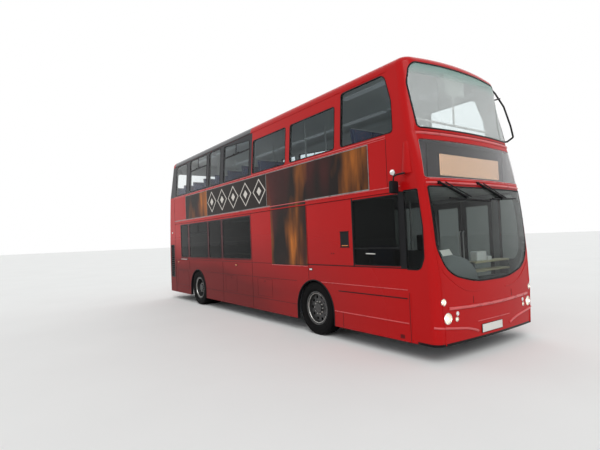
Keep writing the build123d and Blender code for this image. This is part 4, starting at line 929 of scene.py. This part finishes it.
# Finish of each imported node
NODE_FINISH = {
    "bumper_paint_and_shade": ("front_bumper",),
    "paint": ("front_lower_panel", "front_upper_panel", "rear_lower_panel", "engine_door"),
    "roof_paint_and_reflection": ("roof",),
    "low_side_paint": ("side_lower_left", "side_lower_right"),
    "side_paint": ("side_upper_left", "side_upper_right"),
    "tail_paint": ("rear_upper_panel",),
    "side_glass": ("side_glass_left", "side_glass_right", "rear_glass",
                   *(f"{leaf}_glass" for leaf in LEAVES)),
    "screen_glass": ("windscreens",),
    "sign_glass": ("sign_glass",),
    "trim": ("branch_guard", "wipers", "steering_wheel", "rear_grilles", "mirrors", "sign_box", *LEAVES),
    "tyre": ("front_tyre_left", "front_tyre_right", "rear_tyres_left", "rear_tyres_right"),
    "rim": ("front_rim_left", "front_rim_right", "rear_rims_left", "rear_rims_right"),
    "chassis": ("chassis_frame",),
    "engine": ("engine_block",),
    "axle": ("front_axle", "rear_axle", "knuckle_left", "knuckle_right", "tie_rod"),
    "floor": ("lower_floor", "staircase"),
    "upper_floor": ("upper_floor",),
    "cab": ("cab",),
    "shell": ("driver_seat", "lower_seat_frames", "upper_seat_frames"),
    "cloth": ("driver_seat_pads", "lower_seat_pads", "upper_seat_pads"),
    "rail": ("handrails",),
    "lens": ("front_lamps",),
    "red_lens": ("rear_lamps",),
}


class BUS_OT_finishes(bpy.types.Operator):
    """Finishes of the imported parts"""
    bl_idname = "bus.finishes"
    bl_label = "Finishes"

    def execute(self, context):
        for finish, names in NODE_FINISH.items():
            for name in names:
                NODES[name].material_slots[0].material = finishes()[finish]
        bpy.context.view_layer.update()
        return {"FINISHED"}


class BUS_OT_seals(bpy.types.Operator):
    """Rubber seals round every pane"""
    bl_idname = "bus.seals"
    bl_label = "Window seals"

    def execute(self, context):
        settings = context.scene.bus
        side, screen, rise = settings.seal_width, settings.screen_seal_width, settings.seal_rise
        for name, node, outer, width in (
            ("side_seals_left", "side_glass_left", lambda f: f.normal.y > 0.05, side),
            ("side_seals_right", "side_glass_right", lambda f: f.normal.y < -0.05, side),
            ("screen_seals", "windscreens", lambda f: f.normal.x > 0.05, screen),
            ("rear_window_seal", "rear_glass", lambda f: f.normal.x < -0.05, screen),
        ):
            place(seal(name, node, outer, width, rise), "seal")
        for leaf in LEAVES:
            rim = seal(f"{leaf}_seal", f"{leaf}_glass", lambda f: f.normal.y > 0.5, 0.018, rise)
            place(rim, "seal", body=leaf)
        return {"FINISHED"}


class BUS_OT_hoppers(bpy.types.Operator):
    """Frames of the opening vents in the side windows"""
    bl_idname = "bus.hoppers"
    bl_label = "Hopper vents"

    def execute(self, context):
        bars = []
        for x0, x1, z, top in HOPPERS:
            y = side_y(z) - 0.004
            middle = (x0 + x1) / 2
            for name, start, end, width, depth in (
                ("rail", (x0 + 0.02, y, z), (x1 - 0.02, y, z), 0.026, 0.014),
                ("lip", (x0 + 0.03, y - 0.012, z + 0.022), (x1 - 0.03, y - 0.012, z + 0.022), 0.012, 0.012),
                ("post", (middle, y, z), (middle, side_y(top) - 0.004, top - 0.02), 0.022, 0.014),
            ):
                bars.append(bar(name, start, end, width, depth))
            for x in (middle - 0.15, middle + 0.09):
                ends = [(x + along, y + 0.004, z + 0.03) for along in (0, 0.06)]
                bars.append(bar("catch", *ends, 0.02, 0.014))
        pair("hopper_frames", bars, "trim")
        return {"FINISHED"}


class BUS_OT_mouldings(bpy.types.Operator):
    """Half-round mouldings, panel joints and wheel arch lips of the body"""
    bl_idname = "bus.mouldings"
    bl_label = "Mouldings and joints"

    def execute(self, context):
        radius = context.scene.bus.moulding
        # Side mouldings in pale paint, a painted highlight
        beads = [line(REAR_SEAM_X, 2.447, CAB_SEAM_X, 2.447, HALF, radius)]
        for z, thick in ((3.212, radius), (3.180, radius * 0.6)):
            beads.append(line(REAR_SEAM_X, z, FRONT_SEAM_X, z, side_y(z), thick))
        pair("side_mouldings", beads, "edge")
        # Low mouldings in pale paint, a painted highlight
        low = [tube("bead", [on_side(x, z)[0] for x in (start, 4.0, 4.76)], thick)
               for start, z, thick in ((FRONT_ARCH[1] - 0.33, 0.968, 0.006),
                                       (FRONT_ARCH[1] + 0.02, 0.498, 0.008))]
        low.append(line(1.17, 1.236, 2.42, 1.236, -HALF, 0.007))
        group("low_mouldings_right", low, "edge")
        corner = tube("corner", [on_side(4.806, z)[0] for z in (0.236, 0.5, 0.93)], 0.007)
        group("corner_bead_right", [corner], "paint")

        for word, side in SIDES:
            y = side * HALF
            bead = line(REAR_SEAM_X, 2.382, CAB_SEAM_X, 2.382, y, radius * 1.3)
            group(f"deck_mouldings_{word}", [bead], "paint")
            joints = [line(x0, z, x1, z, y, thick, 1) for x0, x1, z, thick in JOINTS["both"] + JOINTS[word]]
            joints += [line(x, z0, x, z1, y, 0.0035, 1)
                       for x, z0, z1 in UPRIGHT_JOINTS["both"] + UPRIGHT_JOINTS[word]]
            group(f"panel_joints_{word}", joints, "seal")
            lips = []
            for axle in (FRONT_AXLE_X, REAR_AXLE_X):
                arc = [(ARCH_RADIUS, BODY_FOOT_Z)]
                for turn in spread(0, math.pi, 32):
                    arc.append((ARCH_RADIUS * math.cos(turn), ARCH_Z + ARCH_RADIUS * math.sin(turn)))
                arc.append((-ARCH_RADIUS, BODY_FOOT_Z))
                lips.append(tube("lip", [(axle + x, y, z) for x, z in arc], 0.011))
            group(f"arch_lips_{word}", lips, "seal")
        return {"FINISHED"}


class BUS_OT_posters(bpy.types.Operator):
    """Generic side poster with its metal frame"""
    bl_idname = "bus.posters"
    bl_label = "Side poster"

    def execute(self, context):
        place(patch("poster_band", -3.62, 4.09, 2.47, 3.155, 0.003, 0.001, 0.001), "poster")
        place(patch("poster_leg", 1.17, 2.42, 1.24, 2.47, 0.0025, 0.001, 0.001), "poster_leg")
        rails = [strip(REAR_SEAM_X, 1.17, 2.464, 0.002, 0.018), strip(2.42, 4.10, 2.464, 0.002, 0.018),
                 strip(-3.63, 4.10, 3.160, 0.002, 0.014, 0.010)]
        for x in (-3.626, -2.05, 1.05, 4.096):
            rails.append(bar("edge", (x, -HALF - 0.003, 2.46), (x, -HALF - 0.003, 3.16), 0.012, 0.010))
        group("poster_frame", rails, "frame")
        return {"FINISHED"}


class BUS_OT_sign(bpy.types.Operator):
    """Blank dot sign and its backing behind the sign glass"""
    bl_idname = "bus.sign"
    bl_label = "Sign"

    def execute(self, context):
        place(block("sign_display", (4.951, -0.655, 2.60), (4.958, 0.92, 2.915), 0.001), "dots")
        place(block("sign_backing", (4.925, -1.11, 2.49), (4.930, 1.11, 3.13), 0.001), "sign_back")
        return {"FINISHED"}


class BUS_OT_linings(bpy.types.Operator):
    """Pale lining on the inside of the walls and roof"""
    bl_idname = "bus.linings"
    bl_label = "Linings"

    def execute(self, context):
        for node in LINED_NODES:
            low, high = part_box(node)

            def inner(face):
                x, _, z = face.center
                if node.startswith("side"):
                    centre = (x, 0, z)
                elif node == "roof":
                    centre = (x, 0, 3.3)
                else:
                    centre = (min(4.3, max(-4.5, x)), 0, (low.z + high.z) / 2)
                return face.normal.dot((face.center - Vector(centre)).normalized()) < -0.4

            skin = modify(faces_of(f"lining_{node}", node, inner), "SOLIDIFY", thickness=0.003, offset=1.0)
            place(skin, "lining" if high.z > 3 else "lower_lining")
        return {"FINISHED"}


class BUS_OT_creases(bpy.types.Operator):
    """Raised creases, ridges and joints of the nose"""
    bl_idname = "bus.creases"
    bl_label = "Nose creases"

    def execute(self, context):
        beads = {"edge": [], "paint": []}
        for side in (1, -1):
            for points, radius, finish in NOSE_CREASES:
                beads[finish].append(tube("crease", [on_front(side * y, z)[0] for y, z in points], radius))
        # Bands across the nose in pale paint, a painted highlight
        for reach, z, bow, steps, radius in NOSE_BANDS:
            points = [on_front(y, z + bow * y * y)[0] for y in spread(-reach, reach, steps)]
            beads["edge"].append(tube("crease", points, radius))
        for finish, parts in beads.items():
            group(f"nose_creases_{finish}", parts, finish)
        joints = [tube("joint", [on_front(y, z)[0] for z in (0.75, 0.85)], 0.0035) for y in (0.505, -0.505)]
        for z, reach in ((2.425, 1.22), (3.205, 1.18)):
            points = [on_front(y, z)[0] for y in spread(-reach, reach, 40)]
            joints.append(tube("joint", points, 0.003, round_steps=1))
        group("nose_joints", joints, "seal")
        return {"FINISHED"}


class BUS_OT_lamps(bpy.types.Operator):
    """Front lamp units, tail lamp rims and marker lamps"""
    bl_idname = "bus.lamps"
    bl_label = "Lamps"

    def execute(self, context):
        units = []
        for y, z, radius in FRONT_LAMPS:
            parts = []
            for profile, steps, finish in LAMP_PROFILES:
                shape = [(depth, radius * share + more) for depth, share, more in profile]
                parts.append(dress(turned("part", shape, steps), finish))
            bulb = ball(radius * 0.22, (0, -0.030, 0), (1, 1.5, 1))
            unit = join("lamp_unit", [*parts, dress(smooth(bulb), "headlight")])
            for side in (1, -1):
                point, normal = first_hit((6, side * y, z), (-1, 0, 0), ("front_lamps",))
                units.append(copy_to(unit, "lamp", facing(point - normal * 0.004, normal)))
            drop(unit)
        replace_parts(belong(join("front_lamp_units", units)), "front_lamps")

        rims, markers = [], []
        for side in (1, -1):
            for z in TAIL_LAMP_HEIGHTS:
                spot = first_hit((-6, side * TAIL_LAMP_Y, z), (1, 0, 0), ("rear_lamps",))
                rims.append(fitted(turned("rim", TAIL_LAMP_RIM, 40), *spot))
            for x in (2.52, -0.45, -4.35):
                for finish, half, y0, y1, z0, z1, edge in (
                    ("trim", 0.045, HALF - 0.001, HALF + 0.006, 1.165, 1.205, 0.003),
                    ("white_lens" if x > 2 else "amber_lens", 0.036, HALF + 0.004, HALF + 0.016, 1.171,
                     1.199, 0.005),
                ):
                    part = block("marker", (x - half, side * y0, z0), (x + half, side * y1, z1), edge)
                    markers.append(dress(part, finish))
            for (x, y, z), ahead in (((-4.85, 1.262, 2.10), 0), ((-6.57, 2.60, 2.04), 0.49)):
                spot = first_hit((x, side * y, z), (ahead, -side, 0), ("rear_lower_panel",))
                markers.append(dress(fitted(turned("corner_lamp", CORNER_LAMP, 24), *spot), "white_lens"))
        group("tail_lamp_rims", rims, "chrome")
        belong(join("side_marker_lamps", markers))
        return {"FINISHED"}


class BUS_OT_plates(bpy.types.Operator):
    """Blank number plates, front and rear"""
    bl_idname = "bus.plates"
    bl_label = "Blank plates"

    def execute(self, context):
        for name, x, y, z, way in (("front_plate", on_front(0.1, 0.368)[0].x, -0.07, 0.368, 1),
                                   ("rear_plate", on_tail(0, 0.42)[0].x, 0, 0.42, -1)):
            parts = []
            for x0, x1, wide, tall, edge, finish in ((0, 0.006, 0.268, 0.062, 0.002, "trim"),
                                                     (0.0035, 0.0085, 0.26, 0.0555, 0.0015, "plate")):
                low, high = (x + way * x0, y - wide, z - tall), (x + way * x1, y + wide, z + tall)
                parts.append(dress(block("plate", low, high, edge), finish))
            for dy in (-0.21, 0.21):
                screw = ball(0.006, (x + way * 0.0088, y + dy, z), (0.35, 1, 1), 12, 8)
                parts.append(dress(screw, "chrome"))
            belong(join(name, parts))
        return {"FINISHED"}


class BUS_OT_wheels(bpy.types.Operator):
    """Ribbed tyres, wheel nuts and rim trims"""
    bl_idname = "bus.wheels"
    bl_label = "Wheels"

    def execute(self, context):
        tyre = turned("tyre", [*TYRE_HALF, *((-y, radius) for y, radius in reversed(TYRE_HALF))], 80)
        nut = join("nut", [peg(0.0165, 0.022, (0, 0.011, 0), 6, 1),
                           peg(0.009, 0.034, (0, 0.017, 0), 12, 1)])
        trim = turned("trim", ((0.100, 0.256), (0.108, 0.260), (0.110, 0.268), (0.105, 0.2738),
                               (0.098, 0.2738)), 80)
        for word, side in SIDES:
            for end, wheel, node, axle, face, pitch, offsets in (
                ("front", "front_wheel", "front_tyre", FRONT_AXLE_X, 0.052, 0.112, (0.0,)),
                ("rear", "rear_wheels", "rear_tyres", REAR_AXLE_X, 0.030, 0.118, (0.0, TWIN_PITCH)),
            ):
                body = f"{wheel}_{word}"
                tyres = [copy_to(tyre, "tyre", Matrix.Translation((axle, side * (TREAD_Y - inward), HUB_Z)))
                         for inward in offsets]
                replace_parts(group(f"{end}_tread_{word}", tyres, "tyre", body=body), f"{node}_{word}")
                hub = Matrix.Translation((axle, side * TREAD_Y, HUB_Z)) @ Matrix.Diagonal((1, side, 1, 1))
                nuts = []
                for turn in spread(0, 1.8 * math.pi, 9):
                    spot = Matrix.Translation((pitch * math.cos(turn), face, pitch * math.sin(turn)))
                    nuts.append(copy_to(nut, "nut", hub @ spot @ Matrix.Rotation(-turn, 4, "Y")))
                group(f"{end}_nuts_{word}", nuts, "nut", body=body)
                place(copy_to(trim, f"{end}_rim_trim_{word}", hub), "nut", body=body)
        for model in (tyre, nut, trim):
            drop(model)
        return {"FINISHED"}


def inflate(obj, cap, frames=20):
    """Swells a pad with the cloth solver. No point moves further than the cap."""
    before = [v.co.copy() for v in obj.data.vertices]
    scene = bpy.context.scene
    pick(obj)
    cloth = obj.modifiers.new("Cloth", "CLOTH")
    cloth.settings.quality = 6
    cloth.settings.use_pressure = True
    cloth.settings.uniform_pressure_force = 4.0
    cloth.settings.effector_weights.gravity = 0.0
    cloth.point_cache.frame_end = frames
    for step in range(1, frames + 1):
        scene.frame_set(step)
    bpy.ops.object.modifier_apply(modifier=cloth.name)
    scene.frame_set(1)
    for vertex, start in zip(obj.data.vertices, before):
        move = vertex.co - start
        if move.length > cap:
            vertex.co = start + move * (cap / move.length)
    return obj


def cushion(size, cuts, cap, finish="cloth"):
    """A crowned pad and the piping round its face, lying at the origin with its face up."""
    wide, deep, thick = size
    pad = done(begin("cube", "pad", size=1, scale=(wide - 0.012, deep - 0.012, thick - 0.014)))
    edit(pad)
    bpy.ops.mesh.subdivide(number_cuts=cuts)
    bpy.ops.object.mode_set(mode="OBJECT")
    inflate(pad, cap)
    smooth(soften(pad, 0.008), 70)
    half_x, half_y, top, corner = wide / 2 - 0.012, deep / 2 - 0.012, thick / 2 - 0.009, 0.02
    points = []
    for way_x, way_y, start in ((1, 1, 0), (-1, 1, 90), (-1, -1, 180), (1, -1, 270)):
        for turn in (0, 45, 90):
            angle = math.radians(start + turn)
            points.append((way_x * (half_x - corner) + corner * math.cos(angle),
                           way_y * (half_y - corner) + corner * math.sin(angle), top))
    piping = tube("piping", points, 0.0045, close=True, round_steps=1)
    return dress(pad, finish), dress(piping, "piping")


def seat_spots():
    """Deck, X, side and floor level of every double seat."""
    for rows, level in ((LOW_ROWS, "low"), (HIGH_ROWS, "high"), (UPPER_ROWS, "upper")):
        for x in rows:
            beside_stairs = x - BACK_LEAN < STAIRWELL[1] and x + SEAT_DEPTH > STAIRWELL[0]
            for side in (1, -1):
                if level != "upper" or side > 0 or not beside_stairs:
                    yield "upper" if level == "upper" else "lower", x, side, FLOORS[level]


def upholster(seats, pads, pipes):
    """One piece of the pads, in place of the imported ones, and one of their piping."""
    cushions = belong(join(f"{seats}_cushions", pads))
    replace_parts(cushions, f"{seats}_seat_pads")
    belong(join(f"{seats}_piping", pipes))


class BUS_OT_cushions(bpy.types.Operator):
    """Swollen cushions with piping on every seat"""
    bl_idname = "bus.cushions"
    bl_label = "Seat cushions"

    def execute(self, context):
        wide = SEAT_WIDTH / 2 - 0.014
        models = [(cushion((0.400, wide, 0.072), 5, 0.007), Matrix.Translation((0.2435, 0, 0.4405))),
                  (cushion((0.555, wide, 0.060), 5, 0.006), leaning((0.0100, 0, 0.7607), 81.4))]
        for deck in ("lower", "upper"):
            pads, pipes = [], []
            for x, side, floor in [spot for on, *spot in seat_spots() if on == deck]:
                for share in (0.25, 0.75):
                    spot = Matrix.Translation((x, side * (SEAT_IN_Y + SEAT_WIDTH * share), floor))
                    for (pad, pipe), turn in models:
                        pads.append(copy_to(pad, "pad", spot @ turn))
                        pipes.append(copy_to(pipe, "pipe", spot @ turn))
            upholster(deck, pads, pipes)
        for parts, _ in models:
            for model in parts:
                drop(model)

        pads, pipes = [], []
        for (pad, pipe), turn in (
            (cushion((0.415, 0.480, 0.086), 7, 0.010), Matrix.Translation((3.949, -0.62, 0.9365))),
            (cushion((0.565, 0.480, 0.082), 7, 0.010), leaning((3.715, -0.62, 1.275), 81.1)),
        ):
            pad.data.transform(turn)
            pipe.data.transform(turn)
            pads.append(pad)
            pipes.append(pipe)
        upholster("driver", pads, pipes)
        return {"FINISHED"}


class BUS_OT_interior(bpy.types.Operator):
    """Ceiling lights, grab handles, the box behind the upper screen and cab fittings"""
    bl_idname = "bus.interior"
    bl_label = "Interior"

    def execute(self, context):
        lights = []
        for rows, reach, half, low, high, edge in CEILING_LIGHTS:
            for x in rows:
                for y in (-reach, reach):
                    lights.append(block("light", (x, y - half, low), (x + 1.25, y + half, high), edge))
        group("ceiling_lights", lights, "ceiling_light")

        grips = []
        for _, x, side, floor in seat_spots():
            if x != UPPER_ROWS[-1]:
                points = [(x - GRIP_BACK, side * y, floor + z) for y, z in GRIP_HOOP]
                grips.append(tube("grip", points, 0.011))
        group("seat_back_grips", grips, "rail")

        box = [dress(block("hood", (4.60, -0.12, 3.97), (4.73, 0.40, 4.30), 0.02), "white_box"),
               dress(block("face", (4.592, -0.08, 4.00), (4.602, 0.36, 4.26), 0.004), "cab"),
               dress(tube("mast", [(4.70, 0.12, 3.49), (4.70, 0.12, 3.98)], 0.016), "rail")]
        belong(join("upper_monitor_box", box))

        parts = [dress(block(*shape), finish) for *shape, finish in CAB_BLOCKS]
        for y in (-0.74, -0.62, -0.50):
            dial = turned("dial", ((0.0, 0.042), (0.006, 0.044), (0.010, 0.038), (0.004, 0.034),
                                   (0.0, 0.034)), 32)
            parts.append(dress(fitted(dial, (4.672, y, 1.11), (-1, 0, 0.35)), "chrome"))
        for x in (4.70, 4.745, 4.79):
            for y in (-0.32, -0.27):
                parts.append(dress(block("switch", (x, y, 1.066), (x + 0.03, y + 0.03, 1.082), 0.004),
                                   "trim"))
        cowl = slab("cowl", [(5.08, y, z) for y, z in COWL], (-0.20, 0, -0.02))
        parts.append(dress(smooth(soften(cowl, 0.03, 4)), "cowl"))
        card = begin("cube", "card", size=1, scale=(0.23, 0.002, 0.095), rotation=(0, math.radians(3), 0))
        parts.append(dress(fitted(soften(done(card), 0.0008), (5.125, -0.85, 1.475), (1, 0, 0.6)), "paper"))
        belong(join("cab_fittings", parts))
        return {"FINISHED"}


class BUS_OT_side_fittings(bpy.types.Operator):
    """Recess, vents, handles, flaps and sill rails of the sides, and the cab window's frame"""
    bl_idname = "bus.side_fittings"
    bl_label = "Side fittings"

    def execute(self, context):
        dark = [patch("recess", 3.365, 3.575, 1.59, 1.83, 0.004, 0.002, 0.003),
                strip(3.71, 4.645, 1.56, -0.002, 0.022)]
        dark += [strip(3.36, 3.58, z, 0.005, 0.014, 0.010) for z in (1.583, 1.837)]
        dark += [peg(0.011, 0.006, (x, -HALF, 1.475)) for x in (3.12, 3.18)]
        dark += [patch("vent", 4.59, 4.67, z, z + 0.006, 0.003, 0.001, 0.001)
                 for z in spread(0.275, 0.319, 4)]
        dark += [patch("pillar", x0, x1, 1.262, 2.36, 0.003, 0.001, 0.0015)
                 for x0, x1 in ((4.655, 4.752), (3.665, 3.70))]
        dark += [patch("foot", x, x + 0.07, 1.255, 1.295, 0.004, 0.001, 0.003) for x in (-4.16, -3.66)]
        group("side_fittings_dark", dark, "trim")
        handle = ((-4.10, 0, 1.275), (-4.08, 0.018, 1.275), (-3.66, 0.018, 1.275), (-3.64, 0, 1.275))
        cab_handle = ((3.97, 0.006, 1.478), (4.16, 0.006, 1.474))
        bright = [tube("handle", [(x, -HALF - off, z) for x, off, z in points], 0.008)
                  for points in (cab_handle, handle)]
        group("side_fittings_bright", bright, "rail")
        place(patch("recess_lip", 3.40, 3.555, 1.60, 1.615, 0.007, -0.002, 0.003), "amber_lens")

        windows = ((-4.11, -3.53), (-3.40, -2.10), (-2.01, -1.25), (-1.15, 0.28))
        sills = [strip(x0, x1, 1.318, 0.002, 0.014, 0.010, side) for side in (1, -1) for x0, x1 in windows]
        group("window_sills", sills, "trim")
        inside = ((-1.12, 0.25, 2.07, 0.014), (-1.12, 0.25, 1.853, 0.014), (-3.36, -2.14, 1.985, 0.07))
        rails = [strip(x0, x1, z, -0.019, tall, 0.010) for x0, x1, z, tall in inside]
        group("window_rails", rails, "frame")

        flaps = []
        for x0, x1, z0, z1 in ((0.55, 1.15, 0.55, 0.92), (-1.05, -0.45, 0.55, 0.92),
                               (-4.45, -3.55, 0.40, 0.92)):
            for y in (HALF, -HALF):
                ring = [(x0, y, z0), (x1, y, z0), (x1, y, z1), (x0, y, z1)]
                flaps.append(tube("flap", ring, 0.0028, close=True, round_steps=1))
                flaps.append(peg(0.014, 0.006, ((x0 + x1) / 2, y, z1 - 0.05)))
        group("side_flaps", flaps, "seal")
        return {"FINISHED"}


class BUS_OT_tail(bpy.types.Operator):
    """Louvres and handle of the engine lid, and the mouldings, high lamps and lamp surrounds of the tail"""
    bl_idname = "bus.tail"
    bl_label = "Tail fittings"

    def execute(self, context):
        slats = [bar("slat", on_tail(y0, z)[0], on_tail(y1, z)[0], 0.026, 0.014, out=(1, 0, 0))
                 for z in spread(0.74, 1.29, 10) for y0, y1 in ((-0.70, -0.06), (0.06, 0.70))]
        group("engine_door_louvres", slats, "trim", body="engine_door")
        middle = on_tail(0, 0.63)[0]
        grip = ((0, -0.10, 0), (-0.014, -0.09, 0), (-0.014, 0.09, 0), (0, 0.10, 0))
        handle = tube("engine_door_handle", [middle + Vector(step) for step in grip], 0.008)
        place(handle, "trim", body="engine_door")

        # Tail mouldings in pale paint, a painted highlight
        beads = [tube("bead", [on_tail(y, z)[0] for y in spread(-reach, reach, 24)], 0.008)
                 for z, reach in TAIL_BEADS]
        group("tail_mouldings", beads, "edge")
        lamps = []
        for y, z, wide in TAIL_MARKERS:
            lamp = done(begin("cube", "lamp", size=1, scale=(wide, 0.018, 0.045)))
            lamps.append(fitted(soften(lamp, 0.006, 3), *on_tail(y, z)))
        group("tail_marker_lamps", lamps, "red_lens")
        wells = [tube("well", [on_tail(side * y, z)[0] for y, z in TAIL_LAMP_RING], 0.004, close=True)
                 for side in (1, -1)]
        group("tail_lamp_surrounds", wells, "seal")
        return {"FINISHED"}


class BUS_OT_roof(bpy.types.Operator):
    """Roof hatches, panel joints and gutters"""
    bl_idname = "bus.roof"
    bl_label = "Roof"

    def execute(self, context):
        hatches = []
        for x in (2.4, -2.6):
            lid = done(begin("cube", "hatch", size=1, location=(x, 0, 4.402), scale=(0.78, 0.62, 0.030)))
            edit_faces(lid, lambda f: f.normal.z > 0.5)
            bpy.ops.mesh.inset(thickness=0.07)
            bpy.ops.transform.translate(value=(0, 0, -0.006))
            bpy.ops.object.mode_set(mode="OBJECT")
            hatches.append(soften(lid, 0.004, 3))
        group("roof_hatches", hatches, "paint")
        bow = [(y, 4.4 - y * y / 32) for y in spread(-1.0, 1.0, 20)]
        seams = [tube("seam", [(x, y, z) for y, z in bow], 0.003, round_steps=1) for x in ROOF_SEAMS]
        group("roof_joints", seams, "seal")
        lean_in = side_y(GUTTER_Z) - HALF + 0.001
        for name, x0, x1, finish in (("front", STEP_X, FRONT_SEAM_X, "paint"),
                                     ("rear", REAR_SEAM_X, STEP_X, "trim")):
            gutters = [strip(x0, x1, GUTTER_Z, lean_in, 0.016, 0.012, side) for side in (1, -1)]
            group(f"roof_gutters_{name}", gutters, finish)
        return {"FINISHED"}


class BUS_OT_doors(bpy.types.Operator):
    """Rubber edges and grab handles of the door leaves, and seals round the doorways"""
    bl_idname = "bus.doors"
    bl_label = "Doors"

    def execute(self, context):
        for doorway, meet in (("front", 4.02), ("exit", 0.96)):
            for word, away in (("aft", -1), ("fore", 1)):
                leaf = f"{doorway}_door_{word}"
                x = meet + away * 0.0195
                edge = bar(f"{leaf}_edge", (x, 1.2555, 0.39), (x, 1.2555, 2.30), 0.028, 0.008, 0.003)
                place(edge, "seal", body=leaf)
                x = meet + away * 0.038
                points = ((1.215, 0.95), (1.180, 0.97), (1.180, 1.75), (1.215, 1.77))
                handle = tube(f"{leaf}_handle", [(x, y, z) for y, z in points], 0.012)
                place(handle, "rail", body=leaf)
        frames = []
        for x0, x1 in ((3.40, 4.64), (0.36, 1.56)):
            points = ((x0, 0.37), (x0, 2.33), (x1, 2.33), (x1, 0.37))
            frames.append(tube("frame", [(x, HALF, z) for x, z in points], 0.008))
        group("doorway_seals", frames, "seal")
        return {"FINISHED"}


class BUS_OT_front_fittings(bpy.types.Operator):
    """Link and feet of the branch guard, mirrors with arms and fairings, wiper rods and blades"""
    bl_idname = "bus.front_fittings"
    bl_label = "Front fittings"

    def execute(self, context):
        guard = [tube("link", [(4.868, 1.262, 4.065), (4.852, 1.12, 4.02), (4.846, 1.02, 4.00)], 0.012)]
        guard += [smooth(ball(0.026, foot, (1, 0.7, 1)))
                  for foot in ((4.70, 1.20, 4.300), (4.80, 1.215, 3.285))]
        group("branch_guard_fittings", guard, "trim")

        arms, heads, glasses, rounds, fairings = [], [], [], [], []
        for side in (1, -1):
            arms.append(tube("arm", [(x, side * y, z) for x, y, z in MIRROR_ARM], 0.013))
            heads.append(smooth(block("head", (4.672, side * 1.305, 2.335), (4.730, side * 1.465, 2.515),
                                      0.022)))
            glasses.append(block("glass", (4.668, side * 1.325, 2.355), (4.674, side * 1.445, 2.495),
                                 0.002))
            rounds.append(fitted(turned("small_mirror", SMALL_MIRROR, 32), (4.705, side * 1.397, 2.630),
                                 (0.7, side * 0.3, 0.0)))
            fairing = begin("cone", "fairing", vertices=48, radius1=0.090, radius2=0.040, depth=0.46,
                            location=(4.846, side * 1.255, 2.835), scale=(1, 0.62, 1))
            fairings.append(smooth(soften(done(fairing), 0.030, 5), 50))
        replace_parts(group("mirror_fairings", fairings, "paint"), "mirrors")
        group("mirror_arms", arms + heads, "trim")
        group("mirror_glasses", glasses, "mirror_glass")
        group("small_round_mirrors", rounds, "chrome")

        blades = []
        for (y0, z0), (y1, z1), (b0, c0), (b1, c1) in WIPERS:
            for shift in (0.0, 0.11):
                foot, normal = on_front(y0 + shift, z0)
                end = on_front(y1 + shift * 0.8, z1)[0]
                blades.append(tube("rod", [foot + normal * 0.035, end + normal * 0.045], 0.009))
            edge = zip(spread(b0, b1, 8), spread(c0, c1, 8))
            blades.append(tube("blade", [on_front(y, z, 0.018)[0] for y, z in edge], 0.013))
        group("wiper_blades", blades, "trim")
        return {"FINISHED"}


CLASSES = (
    BusSettings, BUS_OT_stage, BUS_OT_finishes, BUS_OT_seals, BUS_OT_hoppers, BUS_OT_mouldings,
    BUS_OT_posters, BUS_OT_sign, BUS_OT_linings, BUS_OT_creases, BUS_OT_lamps, BUS_OT_plates,
    BUS_OT_wheels, BUS_OT_cushions, BUS_OT_interior, BUS_OT_side_fittings, BUS_OT_tail, BUS_OT_roof,
    BUS_OT_doors, BUS_OT_front_fittings,
)


class BUS_PT_panel(bpy.types.Panel):
    """Lists the steps that dress the bus"""
    bl_idname = "BUS_PT_panel"
    bl_label = "Bus"
    bl_space_type = "VIEW_3D"
    bl_region_type = "UI"
    bl_category = "Bus"

    def draw(self, context):
        for key in BusSettings.__annotations__:
            self.layout.prop(context.scene.bus, key)
        for cls in CLASSES[1:]:
            self.layout.operator(cls.bl_idname)


def register():
    for cls in (*CLASSES, BUS_PT_panel):
        bpy.utils.register_class(cls)
    bpy.types.Scene.bus = bpy.props.PointerProperty(type=BusSettings)


def unregister():
    del bpy.types.Scene.bus
    for cls in reversed((*CLASSES, BUS_PT_panel)):
        bpy.utils.unregister_class(cls)


def main():
    """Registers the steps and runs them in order."""
    register()
    for cls in CLASSES[1:]:
        getattr(bpy.ops.bus, cls.bl_idname.split(".")[1])()
    rest()


if __name__ == "__main__":
    main()
